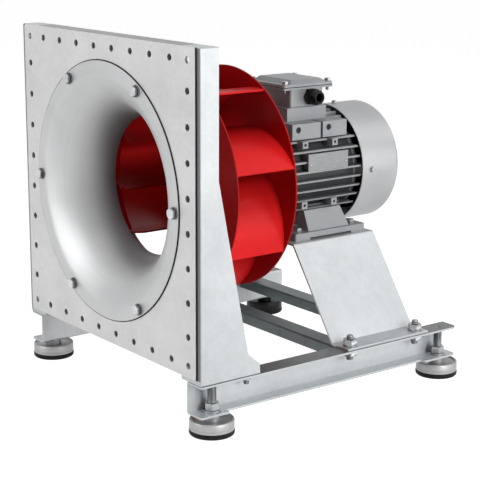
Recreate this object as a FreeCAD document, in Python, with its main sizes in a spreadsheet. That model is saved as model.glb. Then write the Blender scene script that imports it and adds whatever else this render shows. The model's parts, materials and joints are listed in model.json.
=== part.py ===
import FreeCAD, Part
import Sketcher
import math
import os
from FreeCAD import Placement, Rotation, Vector

# Plug fan: a square inlet plate with a bell-shaped nozzle, an eight-bladed
# impeller on the shaft of a finned foot motor, a folded motor pedestal and two
# channel rails on four rubber feet.
# Frame: origin on the fan axis in the front face of the inlet plate, X to the
# right seen from the inlet, Y back along the shaft, Z up. Millimetres.

os.makedirs("parts", exist_ok=True)
doc = FreeCAD.newDocument("plug_fan")
sheet = doc.addObject("Spreadsheet::Sheet", "Sizes")


class Dim:
    """A length of the sheet with the formula that gives it."""

    def __init__(self, value, text):
        self.value = float(value)
        self.text = text

    def __add__(self, other):
        return Dim(self.value + val(other), "(%s + %s)" % (self.text, txt(other)))

    def __radd__(self, other):
        return Dim(val(other) + self.value, "(%s + %s)" % (txt(other), self.text))

    def __sub__(self, other):
        return Dim(self.value - val(other), "(%s - %s)" % (self.text, txt(other)))

    def __rsub__(self, other):
        return Dim(val(other) - self.value, "(%s - %s)" % (txt(other), self.text))

    def __mul__(self, other):
        return Dim(self.value * val(other), "(%s * %s)" % (self.text, txt(other)))

    def __rmul__(self, other):
        return Dim(val(other) * self.value, "(%s * %s)" % (txt(other), self.text))

    def __truediv__(self, other):
        return Dim(self.value / val(other), "(%s / %s)" % (self.text, txt(other)))

    def __neg__(self):
        return Dim(-self.value, "(-1 * %s)" % self.text)


def val(quantity):
    return quantity.value if isinstance(quantity, Dim) else float(quantity)


def txt(quantity):
    return quantity.text if isinstance(quantity, Dim) else repr(float(quantity))


sheet_row = [1]


def size(alias, number, note):
    row = sheet_row[0]
    sheet_row[0] = row + 1
    sheet.set("A%d" % row, note)
    sheet.set("B%d" % row, str(number))
    sheet.setAlias("B%d" % row, alias)
    return Dim(number, "Sizes." + alias)


# Driving sizes
plate_side = size("plate_side", 420, "side of the square inlet plate")
plate_thick = size("plate_thick", 2, "inlet plate sheet")
hole_pitch = size("hole_pitch", 44.6, "pitch of the edge holes")
hole_margin = size("hole_margin", 16, "edge hole line from the plate edge")
hole_corner = plate_side / 2 - hole_margin
edge_hole = size("edge_hole", 9, "edge hole diameter")
thread_gap = size("thread_gap", 0.15, "gap between thread and nut")
fit_gap = size("fit_gap", 0.05, "gap of a close fit")
fold_sheet = size("fold_sheet", 2.5, "sheet of brackets and stiffeners")
fold_hole = size("fold_hole", 10.5, "hole behind each edge hole")
fold_depth = size("fold_depth", 28, "depth of the folds behind the plate")
stiff_flange = size("stiff_flange", 34, "height of the stiffener front flange")
nozzle_rim = size("nozzle_rim", 176, "nozzle flange radius")
nozzle_turn = size("nozzle_turn", 158, "radius where the bell starts")
nozzle_throat = size("nozzle_throat", 96, "throat radius")
nozzle_depth = size("nozzle_depth", 78, "rear end of the nozzle")
nozzle_sheet = size("nozzle_sheet", 2, "nozzle sheet")
nozzle_bolt_ring = size("nozzle_bolt_ring", 167, "nozzle bolt circle radius")
nozzle_window = size("nozzle_window", 160.5, "radius of the opening in the plate")
side_reveal = size("side_reveal", 8.5, "brackets and rails outside the plate edge")
frame_outer = plate_side / 2 + side_reveal
fold_width = size("fold_width", 42.5, "width of the bracket front flange")
fold_inner = frame_outer - fold_width
axis_height = size("axis_height", 288, "fan axis above the floor")
rail_top = size("rail_top", -217, "top face of the rails")
rail_height = size("rail_height", 44, "rail height")
rail_flange = size("rail_flange", 32, "rail flange width")
rail_sheet = size("rail_sheet", 3, "rail sheet")
rail_front = size("rail_front", 3, "front end of the rails")
rail_rear = size("rail_rear", 458, "rear end of the rails")
rail_step = size("rail_step", 8, "step of the bottom flange between the foot tabs")
tab_front = size("tab_front", 48, "rear end of the front foot tab")
tab_rear = size("tab_rear", 398, "front end of the rear foot tab")
foot_edge = size("foot_edge", 15, "feet in from the outer face")
foot_x = frame_outer - foot_edge
foot_front = size("foot_front", 30, "front feet")
foot_rear = size("foot_rear", 434, "rear feet")
stud_hole = size("stud_hole", 13, "foot stud hole")
small_hole = size("small_hole", 9, "hole for an M8 bolt")
bracket_waist = size("bracket_waist", 45, "height where the bracket widens")
bracket_low_y = size("bracket_low_y", 77, "bracket rear edge above the foot")
bracket_low_z = size("bracket_low_z", -187, "height of that corner")
bracket_foot = size("bracket_foot", 97, "rear end of the bracket foot")
bracket_bolt_y = size("bracket_bolt_y", 85.5, "bracket foot bolt")
shaft_height = size("shaft_height", 90, "motor shaft height, frame size 90")
pedestal_sheet = size("pedestal_sheet", 3, "pedestal sheet")
pedestal_half = size("pedestal_half", 95, "half width of the pedestal top")
pedestal_back = size("pedestal_back", 2.5, "pedestal flange in from the outer face")
pedestal_flange = size("pedestal_flange", 33, "width of the pedestal flange")
pedestal_edge = frame_outer - pedestal_back
pedestal_base = pedestal_edge - pedestal_flange
pedestal_front = size("pedestal_front", 251, "front end of the pedestal")
pedestal_rear = size("pedestal_rear", 402, "rear end of the pedestal")
pedestal_stud_a = size("pedestal_stud_a", 265, "front pedestal studs")
pedestal_stud_b = size("pedestal_stud_b", 388, "rear pedestal studs")
crossbar_wide = size("crossbar_wide", 30, "cross bar width")
crossbar_high = size("crossbar_high", 16, "cross bar height")
motor_bolt_x = size("motor_bolt_x", 70, "half of the foot hole distance across")
motor_bolt_a = size("motor_bolt_a", 277, "front foot holes of the motor")
motor_bolt_b = size("motor_bolt_b", 377, "rear foot holes of the motor")
motor_foot_thick = size("motor_foot_thick", 11, "motor foot plate")
motor_foot_edge = size("motor_foot_edge", 87, "outer edge of the motor foot")
motor_foot_front = size("motor_foot_front", 262, "front end of the motor foot")
motor_foot_rear = size("motor_foot_rear", 393, "rear end of the motor foot")
motor_foot_wide = size("motor_foot_wide", 34, "width of the motor foot")
foot_block_in = size("foot_block_in", 5, "foot of the sloping block from the foot edge")
foot_block_top = size("foot_block_top", 12, "width of the sloping block at its top")
foot_block_slant = size("foot_block_slant", 8, "slant of its rear side")
foot_land = size("foot_land", 27, "length of the standing ends of the foot")
foot_relief = size("foot_relief", 3, "relief between them")
foot_corner = size("foot_corner", 3, "corner radius of the foot")
housing_front = size("housing_front", 246, "front end of the housing")
housing_rear = size("housing_rear", 384, "rear end of the housing")
housing_core = size("housing_core", 69, "housing wall radius")
housing_bore = size("housing_bore", 64, "housing bore radius")
fin_tip = size("fin_tip", 83.5, "radius of the fin tips")
fin_pitch = size("fin_pitch", 14, "pitch of the side fins")
fin_top_pitch = size("fin_top_pitch", 12, "pitch of the top and bottom fins")
fin_thick = size("fin_thick", 2.6, "fin thickness")
fin_step = size("fin_step", 3, "fins behind the front end of the housing")
lug_inner = size("lug_inner", 62, "inner end of the shield lugs")
lug_outer = size("lug_outer", 76, "outer end of the shield lugs")
lug_long = size("lug_long", 14, "length of the shield lugs")
lug_half = size("lug_half", 7, "half width of a lug")
shield_bolt_ring = size("shield_bolt_ring", 69.5, "shield bolt circle radius")
shield_shank = size("shield_shank", 2.5, "shield bolt radius")
shield_bolt_long = size("shield_bolt_long", 17, "shield bolt shank length")
shield_head = size("shield_head", 4.2, "shield bolt head radius")
shield_head_high = size("shield_head_high", 5, "shield bolt head height")
cowl_radius = size("cowl_radius", 88, "cowl outside radius")
cowl_front = size("cowl_front", 386, "front rim of the cowl")
cowl_rear = size("cowl_rear", 460, "rear face of the cowl")
cowl_sheet = size("cowl_sheet", 1.5, "cowl sheet")
cowl_screw_y = size("cowl_screw_y", 404, "cowl screws")
shaft_front = size("shaft_front", 171, "front end of the shaft")
shaft_radius = size("shaft_radius", 12, "shaft end radius")
bearing_bore = size("bearing_bore", 12.5, "bearing bore radius")
bearing_outer = size("bearing_outer", 26, "bearing outside radius")
bearing_wide = size("bearing_wide", 15, "bearing width")
bearing_front = size("bearing_front", 236, "front face of the front bearing")
bearing_rear = size("bearing_rear", 371, "front face of the rear bearing")
ball_radius = size("ball_radius", 3.7, "bearing ball radius")
ball_ring = size("ball_ring", 19.25, "radius of the ball circle")
ball_play = size("ball_play", 0.3, "play between ball and race")
core_front = size("core_front", 280, "front end of the laminated cores")
core_rear = size("core_rear", 360, "rear end of the laminated cores")
rotor_radius = size("rotor_radius", 39.5, "rotor radius")
stator_radius = size("stator_radius", 40, "stator bore radius")
impeller_radius = size("impeller_radius", 157.5, "impeller radius")
impeller_eye = size("impeller_eye", 100, "shroud mouth radius")
impeller_back = size("impeller_back", 203, "front face of the back plate")
impeller_rim = size("impeller_rim", 108, "flow side of the shroud rim")
impeller_sheet = size("impeller_sheet", 2.5, "impeller sheet")
shroud_mouth = size("shroud_mouth", 69, "front edge of the shroud")
shroud_bend = size("shroud_bend", 74, "start of the shroud bend")
shroud_radius = size("shroud_radius", 24, "radius of the shroud bend")
blade_count = size("blade_count", 8, "blades")
blade_tip_angle = size("blade_tip_angle", 12, "angle of the first blade tip")
blade_mid_radius = size("blade_mid_radius", 126, "radius of the middle of a blade")
blade_mid_angle = size("blade_mid_angle", 34.3, "angle there")
blade_root_radius = size("blade_root_radius", 91, "radius of the inner edge")
blade_root_angle = size("blade_root_angle", 59.5, "angle there")
blade_front = size("blade_front", 104, "front edge of a blade near its inner edge")
blade_slope = size("blade_slope", 84, "radius where that edge starts to slope")
box_half = size("box_half", 38, "half width of the terminal box")
box_front = size("box_front", 289, "front wall of the terminal box")
box_rear = size("box_rear", 350, "rear wall of the terminal box")
box_floor = size("box_floor", 94, "underside of the terminal box")
lid_half = size("lid_half", 44, "half width of the lid")
lid_front = size("lid_front", 272, "front edge of the lid")
lid_rear = size("lid_rear", 364, "rear edge of the lid")
lid_seat = size("lid_seat", 123, "top of the box flange")
lid_screw_in = size("lid_screw_in", 6.5, "lid screws from the edge")
lid_shank = size("lid_shank", 2.5, "lid screw radius")
lid_across = size("lid_across", 8, "lid screw head across flats")
lid_head = size("lid_head", 4.5, "lid screw head height with its collar")
lid_collar = size("lid_collar", 5, "radius of the collar under the head")
lid_collar_thick = size("lid_collar_thick", 1, "thickness of that collar")
lid_screw_long = size("lid_screw_long", 13, "lid screw below its head")
gland_y = size("gland_y", 325, "cable gland along the motor")
gland_z = size("gland_z", 108, "cable gland height")
bolt_length = size("bolt_length", 17, "nozzle bolt shank length")
wash_thick = size("wash_thick", 1.6, "M8 washer thickness")
hub_across = size("hub_across", 10, "M6 head across flats")
hub_head = size("hub_head", 4, "M6 head height")
hub_shank = size("hub_shank", 3, "M6 shank radius")
hub_bolt_length = size("hub_bolt_length", 13, "hub bolt shank length")
end_bolt_length = size("end_bolt_length", 24, "shaft end bolt shank length")
frame_across = size("frame_across", 13, "M8 head across flats")
frame_head = size("frame_head", 5.3, "M8 head height")
frame_shank = size("frame_shank", 4, "M8 shank radius")
frame_nut = size("frame_nut", 6.5, "M8 nut height")
bracket_shank = size("bracket_shank", 18, "bracket bolt shank length")
pedestal_inset = size("pedestal_inset", 1.6, "inner line of the pedestal side")
stud_up = size("stud_up", 15, "stud above the pedestal flange")
stud_down = size("stud_down", 20, "stud below it")
big_across = size("big_across", 17, "M10 nut across flats")
big_shank = size("big_shank", 5, "M10 stud radius")
big_nut_high = size("big_nut_high", 8, "M10 nut height")
big_hole = size("big_hole", 11, "hole for an M10 stud")
big_washer = size("big_washer", 10.5, "M10 washer radius")
big_washer_thick = size("big_washer_thick", 2, "M10 washer thickness")
wide_washer = size("wide_washer", 8, "M8 washer radius")
foot_shank = size("foot_shank", 23, "motor foot bolt shank length")
pad_high = size("pad_high", 7, "height of the rubber below the cup")
cup_high = size("cup_high", 14, "height of the cup")
cup_radius = size("cup_radius", 29.5, "cup radius")
pad_radius = size("pad_radius", 30, "rubber radius")
cup_wall = size("cup_wall", 3, "cup wall")
cup_bevel = size("cup_bevel", 1, "bevel of the cup edge")
pad_bevel = size("pad_bevel", 2, "bevel of the rubber edge")
boss_radius = size("boss_radius", 11, "middle boss of the cup")
stud_radius = size("stud_radius", 6, "foot stud radius")
stud_top_gap = size("stud_top_gap", 0.5, "foot stud end below the rail flange")
stud_across = size("stud_across", 18, "foot nut across flats")
stud_nut = size("stud_nut", 10, "foot nut height")
stud_washer = size("stud_washer", 12, "foot washer radius")
stud_washer_thick = size("stud_washer_thick", 2.5, "foot washer thickness")
side_pad = size("side_pad", 69, "face of the upper fixing pads")
low_pad = size("low_pad", 58, "face of the lower pads that carry the feet")
pad_low = size("pad_low", 52.5, "lower edge of the upper pads")
pad_top = size("pad_top", 75, "upper edge of the upper pads")
pad_front = size("pad_front", 268, "front edge of the first upper pad")
pad_middle = size("pad_middle", 322, "middle of the gap between the upper pads")
pad_rear = size("pad_rear", 369, "rear edge of the second upper pad")
pad_gap = size("pad_gap", 4, "gap between the upper pads")
pad_root = size("pad_root", 36, "inner side of the fixing pads")
pad_hole = size("pad_hole", 4.5, "radius of the upper pad holes")
pad_hole_in = size("pad_hole_in", 11, "pad hole from the front edge of its pad")
pad_hole_down = size("pad_hole_down", 8.5, "pad hole below the upper edge")
pad_hole_deep = size("pad_hole_deep", 12, "depth of the pad holes")
low_pad_front = size("low_pad_front", 290, "front edge of the lower pads")
low_pad_long = size("low_pad_long", 76, "length of the lower pads")
low_pad_top = size("low_pad_top", -46, "upper edge of the lower pads")
low_pad_low = size("low_pad_low", -74, "lower edge of the lower pads")
boss_face = size("boss_face", 79, "face of the tapped bosses")
boss_root = size("boss_root", 50, "inner side of the tapped bosses")
boss_a = size("boss_a", 284, "front tapped bosses")
boss_b = size("boss_b", 339, "rear tapped bosses")
boss_high = size("boss_high", 46, "height of the upper bosses")
boss_low = size("boss_low", -41, "height of the lower bosses")
boss_half = size("boss_half", 5, "half length of a boss")
boss_tap = size("boss_tap", 2.1, "radius of the boss holes")
boss_tap_deep = size("boss_tap_deep", 9, "depth of the boss holes")
fin_rear = size("fin_rear", 386, "rear ends of the fins")
seat_half = size("seat_half", 42, "half width of the terminal box seat")
seat_front = size("seat_front", 280, "front edge of the seat")
seat_rear = size("seat_rear", 352, "rear edge of the seat")
seat_root = size("seat_root", 60, "underside of the seat inside the wall")
wire_hole = size("wire_hole", 11, "radius of the hole for the wires")
box_wall = size("box_wall", 4, "terminal box wall")
box_flange = size("box_flange", 3, "thickness of the box flange")
lid_screw_hole = size("lid_screw_hole", 2.7, "radius of the lid screw holes")
shield_radius = size("shield_radius", 78, "front shield radius")
shield_deep = size("shield_deep", 7, "thickness of the shield rims")
shield_wall = size("shield_wall", 4, "wall of the shields")
rim_step = size("rim_step", 2, "front shield face behind and in front of its rim")
shield_hub = size("shield_hub", 34, "radius of the shield middle")
shield_slope = size("shield_slope", 6, "width of the slope round it")
seat_outer = size("seat_outer", 32, "outside radius of the bearing seats")
spigot = size("spigot", 6, "shield rim inside the housing")
shaft_hole = size("shaft_hole", 13.5, "radius of the shaft hole")
seal_wide = size("seal_wide", 4, "width of the shaft seal and of its seat")
seal_radius = size("seal_radius", 19, "outside radius of the shaft seal")
cowl_lug = size("cowl_lug", 6, "cowl lug behind the screw")
cowl_shank = size("cowl_shank", 1.9, "cowl screw radius")
cowl_screw_long = size("cowl_screw_long", 10, "cowl screw below its collar")
cowl_collar = size("cowl_collar", 5, "radius of the collar under the head")
cowl_across = size("cowl_across", 7, "cowl screw head across flats")
cowl_head = size("cowl_head", 3.8, "cowl screw head height with its collar")
cowl_bend = size("cowl_bend", 9, "rear edge radius of the cowl")
slot_half = size("slot_half", 2.4, "half width of a grille slot")
winding_outer = size("winding_outer", 60, "outside radius of the winding heads")
winding_inner = size("winding_inner", 43, "inside radius of the winding heads")
winding_front = size("winding_front", 15, "length of the front winding head")
winding_rear = size("winding_rear", 11, "length of the rear winding head")
winding_round = size("winding_round", 4, "rounding of the winding heads")
end_ring_outer = size("end_ring_outer", 34, "outside radius of the rotor end rings")
end_ring_inner = size("end_ring_inner", 24, "inside radius of the rotor end rings")
end_ring_long = size("end_ring_long", 8, "length of the rotor end rings")
seal_gap = size("seal_gap", 0.3, "gap between seal lip and shaft")
gasket = size("gasket", 1, "gasket thickness")
lid_edge = size("lid_edge", 4, "lid edge thickness")
lid_rise = size("lid_rise", 5.5, "rise of the raised middle")
lid_bevel = size("lid_bevel", 6, "width of the bevel round the middle")
lid_corner = size("lid_corner", 6, "corner radius of the lid")
lid_side = size("lid_side", 2, "foot of the bevel from the side edges")
box_corner = size("box_corner", 4, "corner radius of the box")
gasket_in = size("gasket_in", 1, "gasket in from the lid edge")
block_half = size("block_half", 20, "half width of the terminal block")
block_deep = size("block_deep", 14, "half depth of the terminal block")
block_high = size("block_high", 10, "height of the terminal block")
post_pitch = size("post_pitch", 12, "pitch of its studs")
post_row = size("post_row", 7, "stud rows from its middle")
post_radius = size("post_radius", 2, "radius of its studs")
post_high = size("post_high", 18, "height of its studs")
lid_end = size("lid_end", 13, "foot of the bevel from the end edges")
gland_bore = size("gland_bore", 6.5, "cable opening radius")
gland_corner = val(size("gland_corner", 12.5, "corner radius of the gland hexagon"))
gland_base = size("gland_base", 7, "thickness of the hexagon")
gland_nut_long = size("gland_nut_long", 15, "length of the domed nut")
gland_nut_radius = size("gland_nut_radius", 11.6, "radius of the domed nut")
gland_inside = size("gland_inside", 7, "gland inside the box")
gland_round = size("gland_round", 3, "rounding of the domed nut")
gland_neck = size("gland_neck", 9.6, "radius of the neck inside the nut")
gland_neck_long = size("gland_neck_long", 6, "length of that neck")
gland_thread = size("gland_thread", 7.9, "radius of the gland in the box wall")
gland_wall_hole = size("gland_wall_hole", 8, "radius of the gland hole in the wall")
plate_x = size("plate_x", 83, "inner face of the rating plate")
plate_front = size("plate_front", 286, "front edge of the rating plate")
plate_rear = size("plate_rear", 360, "rear edge of the rating plate")
plate_low = size("plate_low", 8, "lower edge of the rating plate")
plate_high = size("plate_high", 33, "upper edge of the rating plate")
plate_deep = size("plate_deep", 1, "thickness of the rating plate")
plate_margin = size("plate_margin", 1.5, "plate edge beyond its pad")
plate_gap = size("plate_gap", 0.5, "fins clear of the plate edge")
rivet_radius = size("rivet_radius", 1.9, "rivet head radius")
rivet_high = size("rivet_high", 1.2, "rivet head height")
rivet_in = size("rivet_in", 4, "rivets from the plate ends")
rivet_z = size("rivet_z", 17, "height of the rivets")
shoulder = size("shoulder", 15, "shaft shoulder radius")
shaft_rear = size("shaft_rear", 432, "rear end of the shaft")
shaft_swell = size("shaft_swell", 0.25, "step behind the hub seat")
fan_disc = size("fan_disc", 414, "front face of the cooling fan disc")
fan_disc_thick = size("fan_disc_thick", 3, "thickness of that disc")
fan_radius = size("fan_radius", 72, "cooling fan radius")
fan_boss = size("fan_boss", 15, "cooling fan boss radius")
fan_boss_front = size("fan_boss_front", 400, "front face of that boss")
fan_boss_rear = size("fan_boss_rear", 430, "rear face of that boss")
vane_rear = size("vane_rear", 436, "rear edge of the fan vanes")
vane_half = size("vane_half", 1.5, "half thickness of a vane")
fan_seat = size("fan_seat", 10, "radius of the cooling fan seat")
key_wide = size("key_wide", 8, "key width")
key_deep = size("key_deep", 4, "keyway depth")
key_rise = size("key_rise", 3, "key above the shaft")
key_start = size("key_start", 6, "key from the shaft end")
key_long = size("key_long", 40, "key length")
shaft_seat = size("shaft_seat", 50, "length of the shaft seat for the hub")
hub_front = size("hub_front", 2, "hub in front of the shaft end")
hub_rear = size("hub_rear", 48, "rear end of the hub from the shaft end")
hub_flange_thick = size("hub_flange_thick", 7, "thickness of the hub flange")
hub_radius = size("hub_radius", 27, "hub boss radius")
hub_chamfer = size("hub_chamfer", 2, "bevel of the hub and slope of its flange")
hub_flange = size("hub_flange", 48, "hub flange radius")
hub_bolt_ring = size("hub_bolt_ring", 38, "hub bolt circle radius")
end_washer = size("end_washer", 18, "end washer radius")
end_thick = size("end_thick", 4, "end washer thickness")
doc.recompute()

PLANES = {"XY": "XY_Plane", "XZ": "XZ_Plane", "YZ": "YZ_Plane"}
exports = []


def keep(node, item):
    item.Label = node
    exports.append((node, item))
    return item


def new_body(node):
    return keep(node, doc.addObject("PartDesign::Body", "Body_" + node))


def origin_item(body, role):
    for item in body.Origin.OriginFeatures:
        if item.Role == role:
            return item
    raise RuntimeError("no " + role)


def sketch_on(body, plane, at=None):
    """A sketch on an origin plane of the body, moved along the world axis by at."""
    sketch = body.newObject("Sketcher::SketchObject", "Sketch_" + body.Label)
    sketch.AttachmentSupport = [(origin_item(body, PLANES[plane]), "")]
    sketch.MapMode = "FlatFace"
    if at is not None:
        along = -at if plane == "XZ" else at
        sketch.AttachmentOffset = Placement(Vector(0, 0, val(along)), Rotation())
        if isinstance(along, Dim):
            sketch.setExpression("AttachmentOffset.Base.z", along.text)
    return sketch


def locate(sketch, geo, point, x, y):
    """Hold one point of the sketch at x, y."""
    for kind, amount in (("DistanceX", x), ("DistanceY", y)):
        sketch.addConstraint(Sketcher.Constraint(kind, -1, 1, geo, point, val(amount)))
        if isinstance(amount, Dim):
            sketch.setExpression("Constraints[%d]" % (sketch.ConstraintCount - 1), amount.text)


def outline(sketch, points):
    """A closed outline. A point is (x, y), or (x, y, radius, centre x, centre y, turn)
    when the side that ends there is an arc."""
    first = sketch.GeometryCount
    count = len(points)
    spans = []
    for index in range(count):
        start = points[index - 1]
        end = points[index]
        a = Vector(val(start[0]), val(start[1]), 0)
        b = Vector(val(end[0]), val(end[1]), 0)
        if len(end) == 2:
            geo = sketch.addGeometry(Part.LineSegment(a, b), False)
            spans.append((geo, 1, 2))
            continue
        centre = Vector(val(end[3]), val(end[4]), 0)
        circle = Part.Circle(centre, Vector(0, 0, 1), val(end[2]))
        angle_a = math.atan2(a.y - centre.y, a.x - centre.x)
        angle_b = math.atan2(b.y - centre.y, b.x - centre.x)
        if end[5] > 0:
            geo = sketch.addGeometry(Part.ArcOfCircle(circle, angle_a, angle_b), False)
            spans.append((geo, 1, 2))
        else:
            geo = sketch.addGeometry(Part.ArcOfCircle(circle, angle_b, angle_a), False)
            spans.append((geo, 2, 1))
    for index in range(count):
        geo, start, end = spans[index]
        following, begin, _ = spans[(index + 1) % count]
        sketch.addConstraint(Sketcher.Constraint("Coincident", geo, end, following, begin))
        locate(sketch, geo, end, points[index][0], points[index][1])
    for index in range(count):
        if len(points[index]) > 2:
            radius = points[index][2]
            sketch.addConstraint(Sketcher.Constraint("Radius", spans[index][0], val(radius)))
            if isinstance(radius, Dim):
                name = "Constraints[%d]" % (sketch.ConstraintCount - 1)
                sketch.setExpression(name, radius.text)
    return first


def rectangle(sketch, x0, y0, x1, y1):
    outline(sketch, [(x0, y0), (x1, y0), (x1, y1), (x0, y1)])


def ring(sketch, x, y, radius):
    circle = Part.Circle(Vector(val(x), val(y), 0), Vector(0, 0, 1), val(radius))
    geo = sketch.addGeometry(circle, False)
    locate(sketch, geo, 3, x, y)
    sketch.addConstraint(Sketcher.Constraint("Radius", geo, val(radius)))
    if isinstance(radius, Dim):
        sketch.setExpression("Constraints[%d]" % (sketch.ConstraintCount - 1), radius.text)


def sweep_out(body, kind, sketch, length):
    """Sweep a sketch along the positive world axis of its plane."""
    doc.recompute()
    normal = sketch.Placement.Rotation.multVec(Vector(0, 0, 1))
    with_normal = normal.x + normal.y + normal.z > 0
    feature = body.newObject("PartDesign::" + kind, kind + "_" + body.Label)
    feature.Profile = sketch
    feature.Length = val(length)
    if isinstance(length, Dim):
        feature.setExpression("Length", length.text)
    feature.Reversed = with_normal if kind == "Pocket" else not with_normal
    return feature


def pad(body, sketch, length):
    return sweep_out(body, "Pad", sketch, length)


def pocket(body, sketch, length):
    """Cut, and make sure that the cut takes material away."""
    doc.recompute()
    before = body.Shape.Volume
    feature = sweep_out(body, "Pocket", sketch, length)
    doc.recompute()
    if not body.Shape.Volume < before - 0.01:
        raise RuntimeError("the cut takes nothing: " + body.Label)
    return feature


def revolve(body, sketch, axis="V_Axis"):
    feature = body.newObject("PartDesign::Revolution", "Turn_" + body.Label)
    feature.Profile = sketch
    feature.ReferenceAxis = (sketch, [axis])
    feature.Angle = 360
    return feature


def polar(body, feature, role, count):
    doc.recompute()
    pattern = body.newObject("PartDesign::PolarPattern", "Polar_" + body.Label)
    pattern.Originals = [feature]
    pattern.Axis = (origin_item(body, role), [""])
    pattern.Angle = 360
    pattern.Occurrences = int(val(count))
    if isinstance(count, Dim):
        pattern.setExpression("Occurrences", count.text)
    body.Tip = pattern
    doc.recompute()
    return pattern


def edges_where(shape, test):
    names = []
    for number, edge in enumerate(shape.Edges, 1):
        if test(edge):
            names.append("Edge%d" % number)
    return names


def straight_along(edge, axis):
    ends = [vertex.Point for vertex in edge.Vertexes]
    if len(ends) != 2 or edge.Curve.TypeId != "Part::GeomLine":
        return False
    step = ends[1] - ends[0]
    return abs(abs(step.dot(axis)) - step.Length) < 1e-6


def dress(body, kind, amount, test):
    doc.recompute()
    names = edges_where(body.Shape, test)
    if not names:
        raise RuntimeError("no edge to dress on " + body.Label)
    base = body.Tip
    feature = body.newObject("PartDesign::" + kind, kind + "_" + body.Label)
    feature.Base = (base, names)
    if kind == "Fillet":
        feature.Radius = val(amount)
    else:
        feature.Size = val(amount)
    body.Tip = feature
    doc.recompute()
    if feature.Shape.isNull() or not feature.Shape.isValid():
        raise RuntimeError("the edge is not dressed on " + body.Label)
    return feature


def solid_of(tool):
    doc.recompute()
    return tool.Shape.copy()


def at_point(x, y, z):
    return Placement(Vector(val(x), val(y), val(z)), Rotation())


def turned(shape, angle):
    """A copy turned about the fan axis, from X towards Z."""
    copy = shape.copy()
    copy.rotate(Vector(0, 0, 0), Vector(0, -1, 0), angle)
    return copy


def group(node, solids):
    item = doc.addObject("Part::Feature", "Group_" + node)
    item.Shape = Part.makeCompound(solids)
    item.Placement = Placement()
    return keep(node, item)


def hexagon_piece(name, across, height, bore=None):
    """A hexagon along Z from the origin, with an optional hole."""
    prism = doc.addObject("Part::Prism", name)
    prism.Polygon = 6
    prism.Circumradius = val(across) / math.sqrt(3.0)
    prism.Height = val(height)
    if isinstance(across, Dim):
        prism.setExpression("Circumradius", across.text + " / sqrt(3)")
    if isinstance(height, Dim):
        prism.setExpression("Height", height.text)
    if bore is None:
        return prism
    return bored(name, prism, bore, height)


def rod(name, radius, height):
    cylinder = doc.addObject("Part::Cylinder", name)
    cylinder.Radius = val(radius)
    cylinder.Height = val(height)
    if isinstance(radius, Dim):
        cylinder.setExpression("Radius", radius.text)
    if isinstance(height, Dim):
        cylinder.setExpression("Height", height.text)
    return cylinder


def bored(name, base, bore, height):
    tool = rod(name + "_tool", bore, height)
    cut = doc.addObject("Part::Cut", name + "_bored")
    cut.Base = base
    cut.Tool = tool
    return cut


def washer_piece(name, outer, bore, height):
    return bored(name, rod(name, outer, height), bore, height)


def joined(name, parts):
    union = doc.addObject("Part::MultiFuse", name)
    union.Shapes = parts
    union.Refine = True
    return union


def bolt_piece(name, across, head, shank, length, collar=None, collar_thick=None):
    """Head above the origin, with an optional round collar, and shank below it."""
    parts = [hexagon_piece(name + "_head", across, head)]
    stem = rod(name + "_stem", shank, length)
    stem.Placement.Base.z = -val(length)
    if isinstance(length, Dim):
        stem.setExpression("Placement.Base.z", "-1 * " + length.text)
    parts.append(stem)
    if collar is not None:
        parts.append(rod(name + "_collar", collar, collar_thick))
    return joined(name, parts)


def stand(shape, x, y, z, toward="up"):
    """A copy of a piece made along Z, with its Z axis turned as named."""
    turns = {
        "up": Rotation(),
        "down": Rotation(Vector(1, 0, 0), 180),
        "front": Rotation(Vector(1, 0, 0), 90),
        "back": Rotation(Vector(1, 0, 0), -90),
        "right": Rotation(Vector(0, 1, 0), 90),
        "left": Rotation(Vector(0, 1, 0), -90),
    }
    copy = shape.copy()
    copy.Placement = Placement(Vector(val(x), val(y), val(z)), turns[toward])
    return copy


X_AXIS = Vector(1, 0, 0)
Y_AXIS = Vector(0, 1, 0)
Z_AXIS = Vector(0, 0, 1)
plate_half = plate_side / 2
fold_front = plate_thick
EDGE_STEPS = [-3.5, -2.5, -1.5, -0.5, 0.5, 1.5, 2.5, 3.5]
LUG_ANGLES = (45, 135, 225, 315)
COWL_ANGLES = (0, 90, 180)

# Inlet plate: flat square sheet with a round window, eight holes along each
# side and one at each corner, and six holes for the nozzle bolts.
body = new_body("inlet_plate")
sketch = sketch_on(body, "XZ")
rectangle(sketch, -plate_half, -plate_half, plate_half, plate_half)
ring(sketch, 0, 0, nozzle_window)
pad(body, sketch, plate_thick)
sketch = sketch_on(body, "XZ")
for step in EDGE_STEPS:
    ring(sketch, hole_pitch * step, hole_corner, edge_hole / 2)
    ring(sketch, hole_pitch * step, -hole_corner, edge_hole / 2)
    ring(sketch, hole_corner, hole_pitch * step, edge_hole / 2)
    ring(sketch, -hole_corner, hole_pitch * step, edge_hole / 2)
for side_x in (-1, 1):
    for side_z in (-1, 1):
        ring(sketch, hole_corner * side_x, hole_corner * side_z, edge_hole / 2)
pocket(body, sketch, plate_thick)
sketch = sketch_on(body, "XZ")
ring(sketch, nozzle_bolt_ring, 0, small_hole / 2)
cut = pocket(body, sketch, plate_thick)
polar(body, cut, "Y_Axis", 6)
dress(body, "Fillet", 4, lambda edge: straight_along(edge, Y_AXIS))

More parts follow.
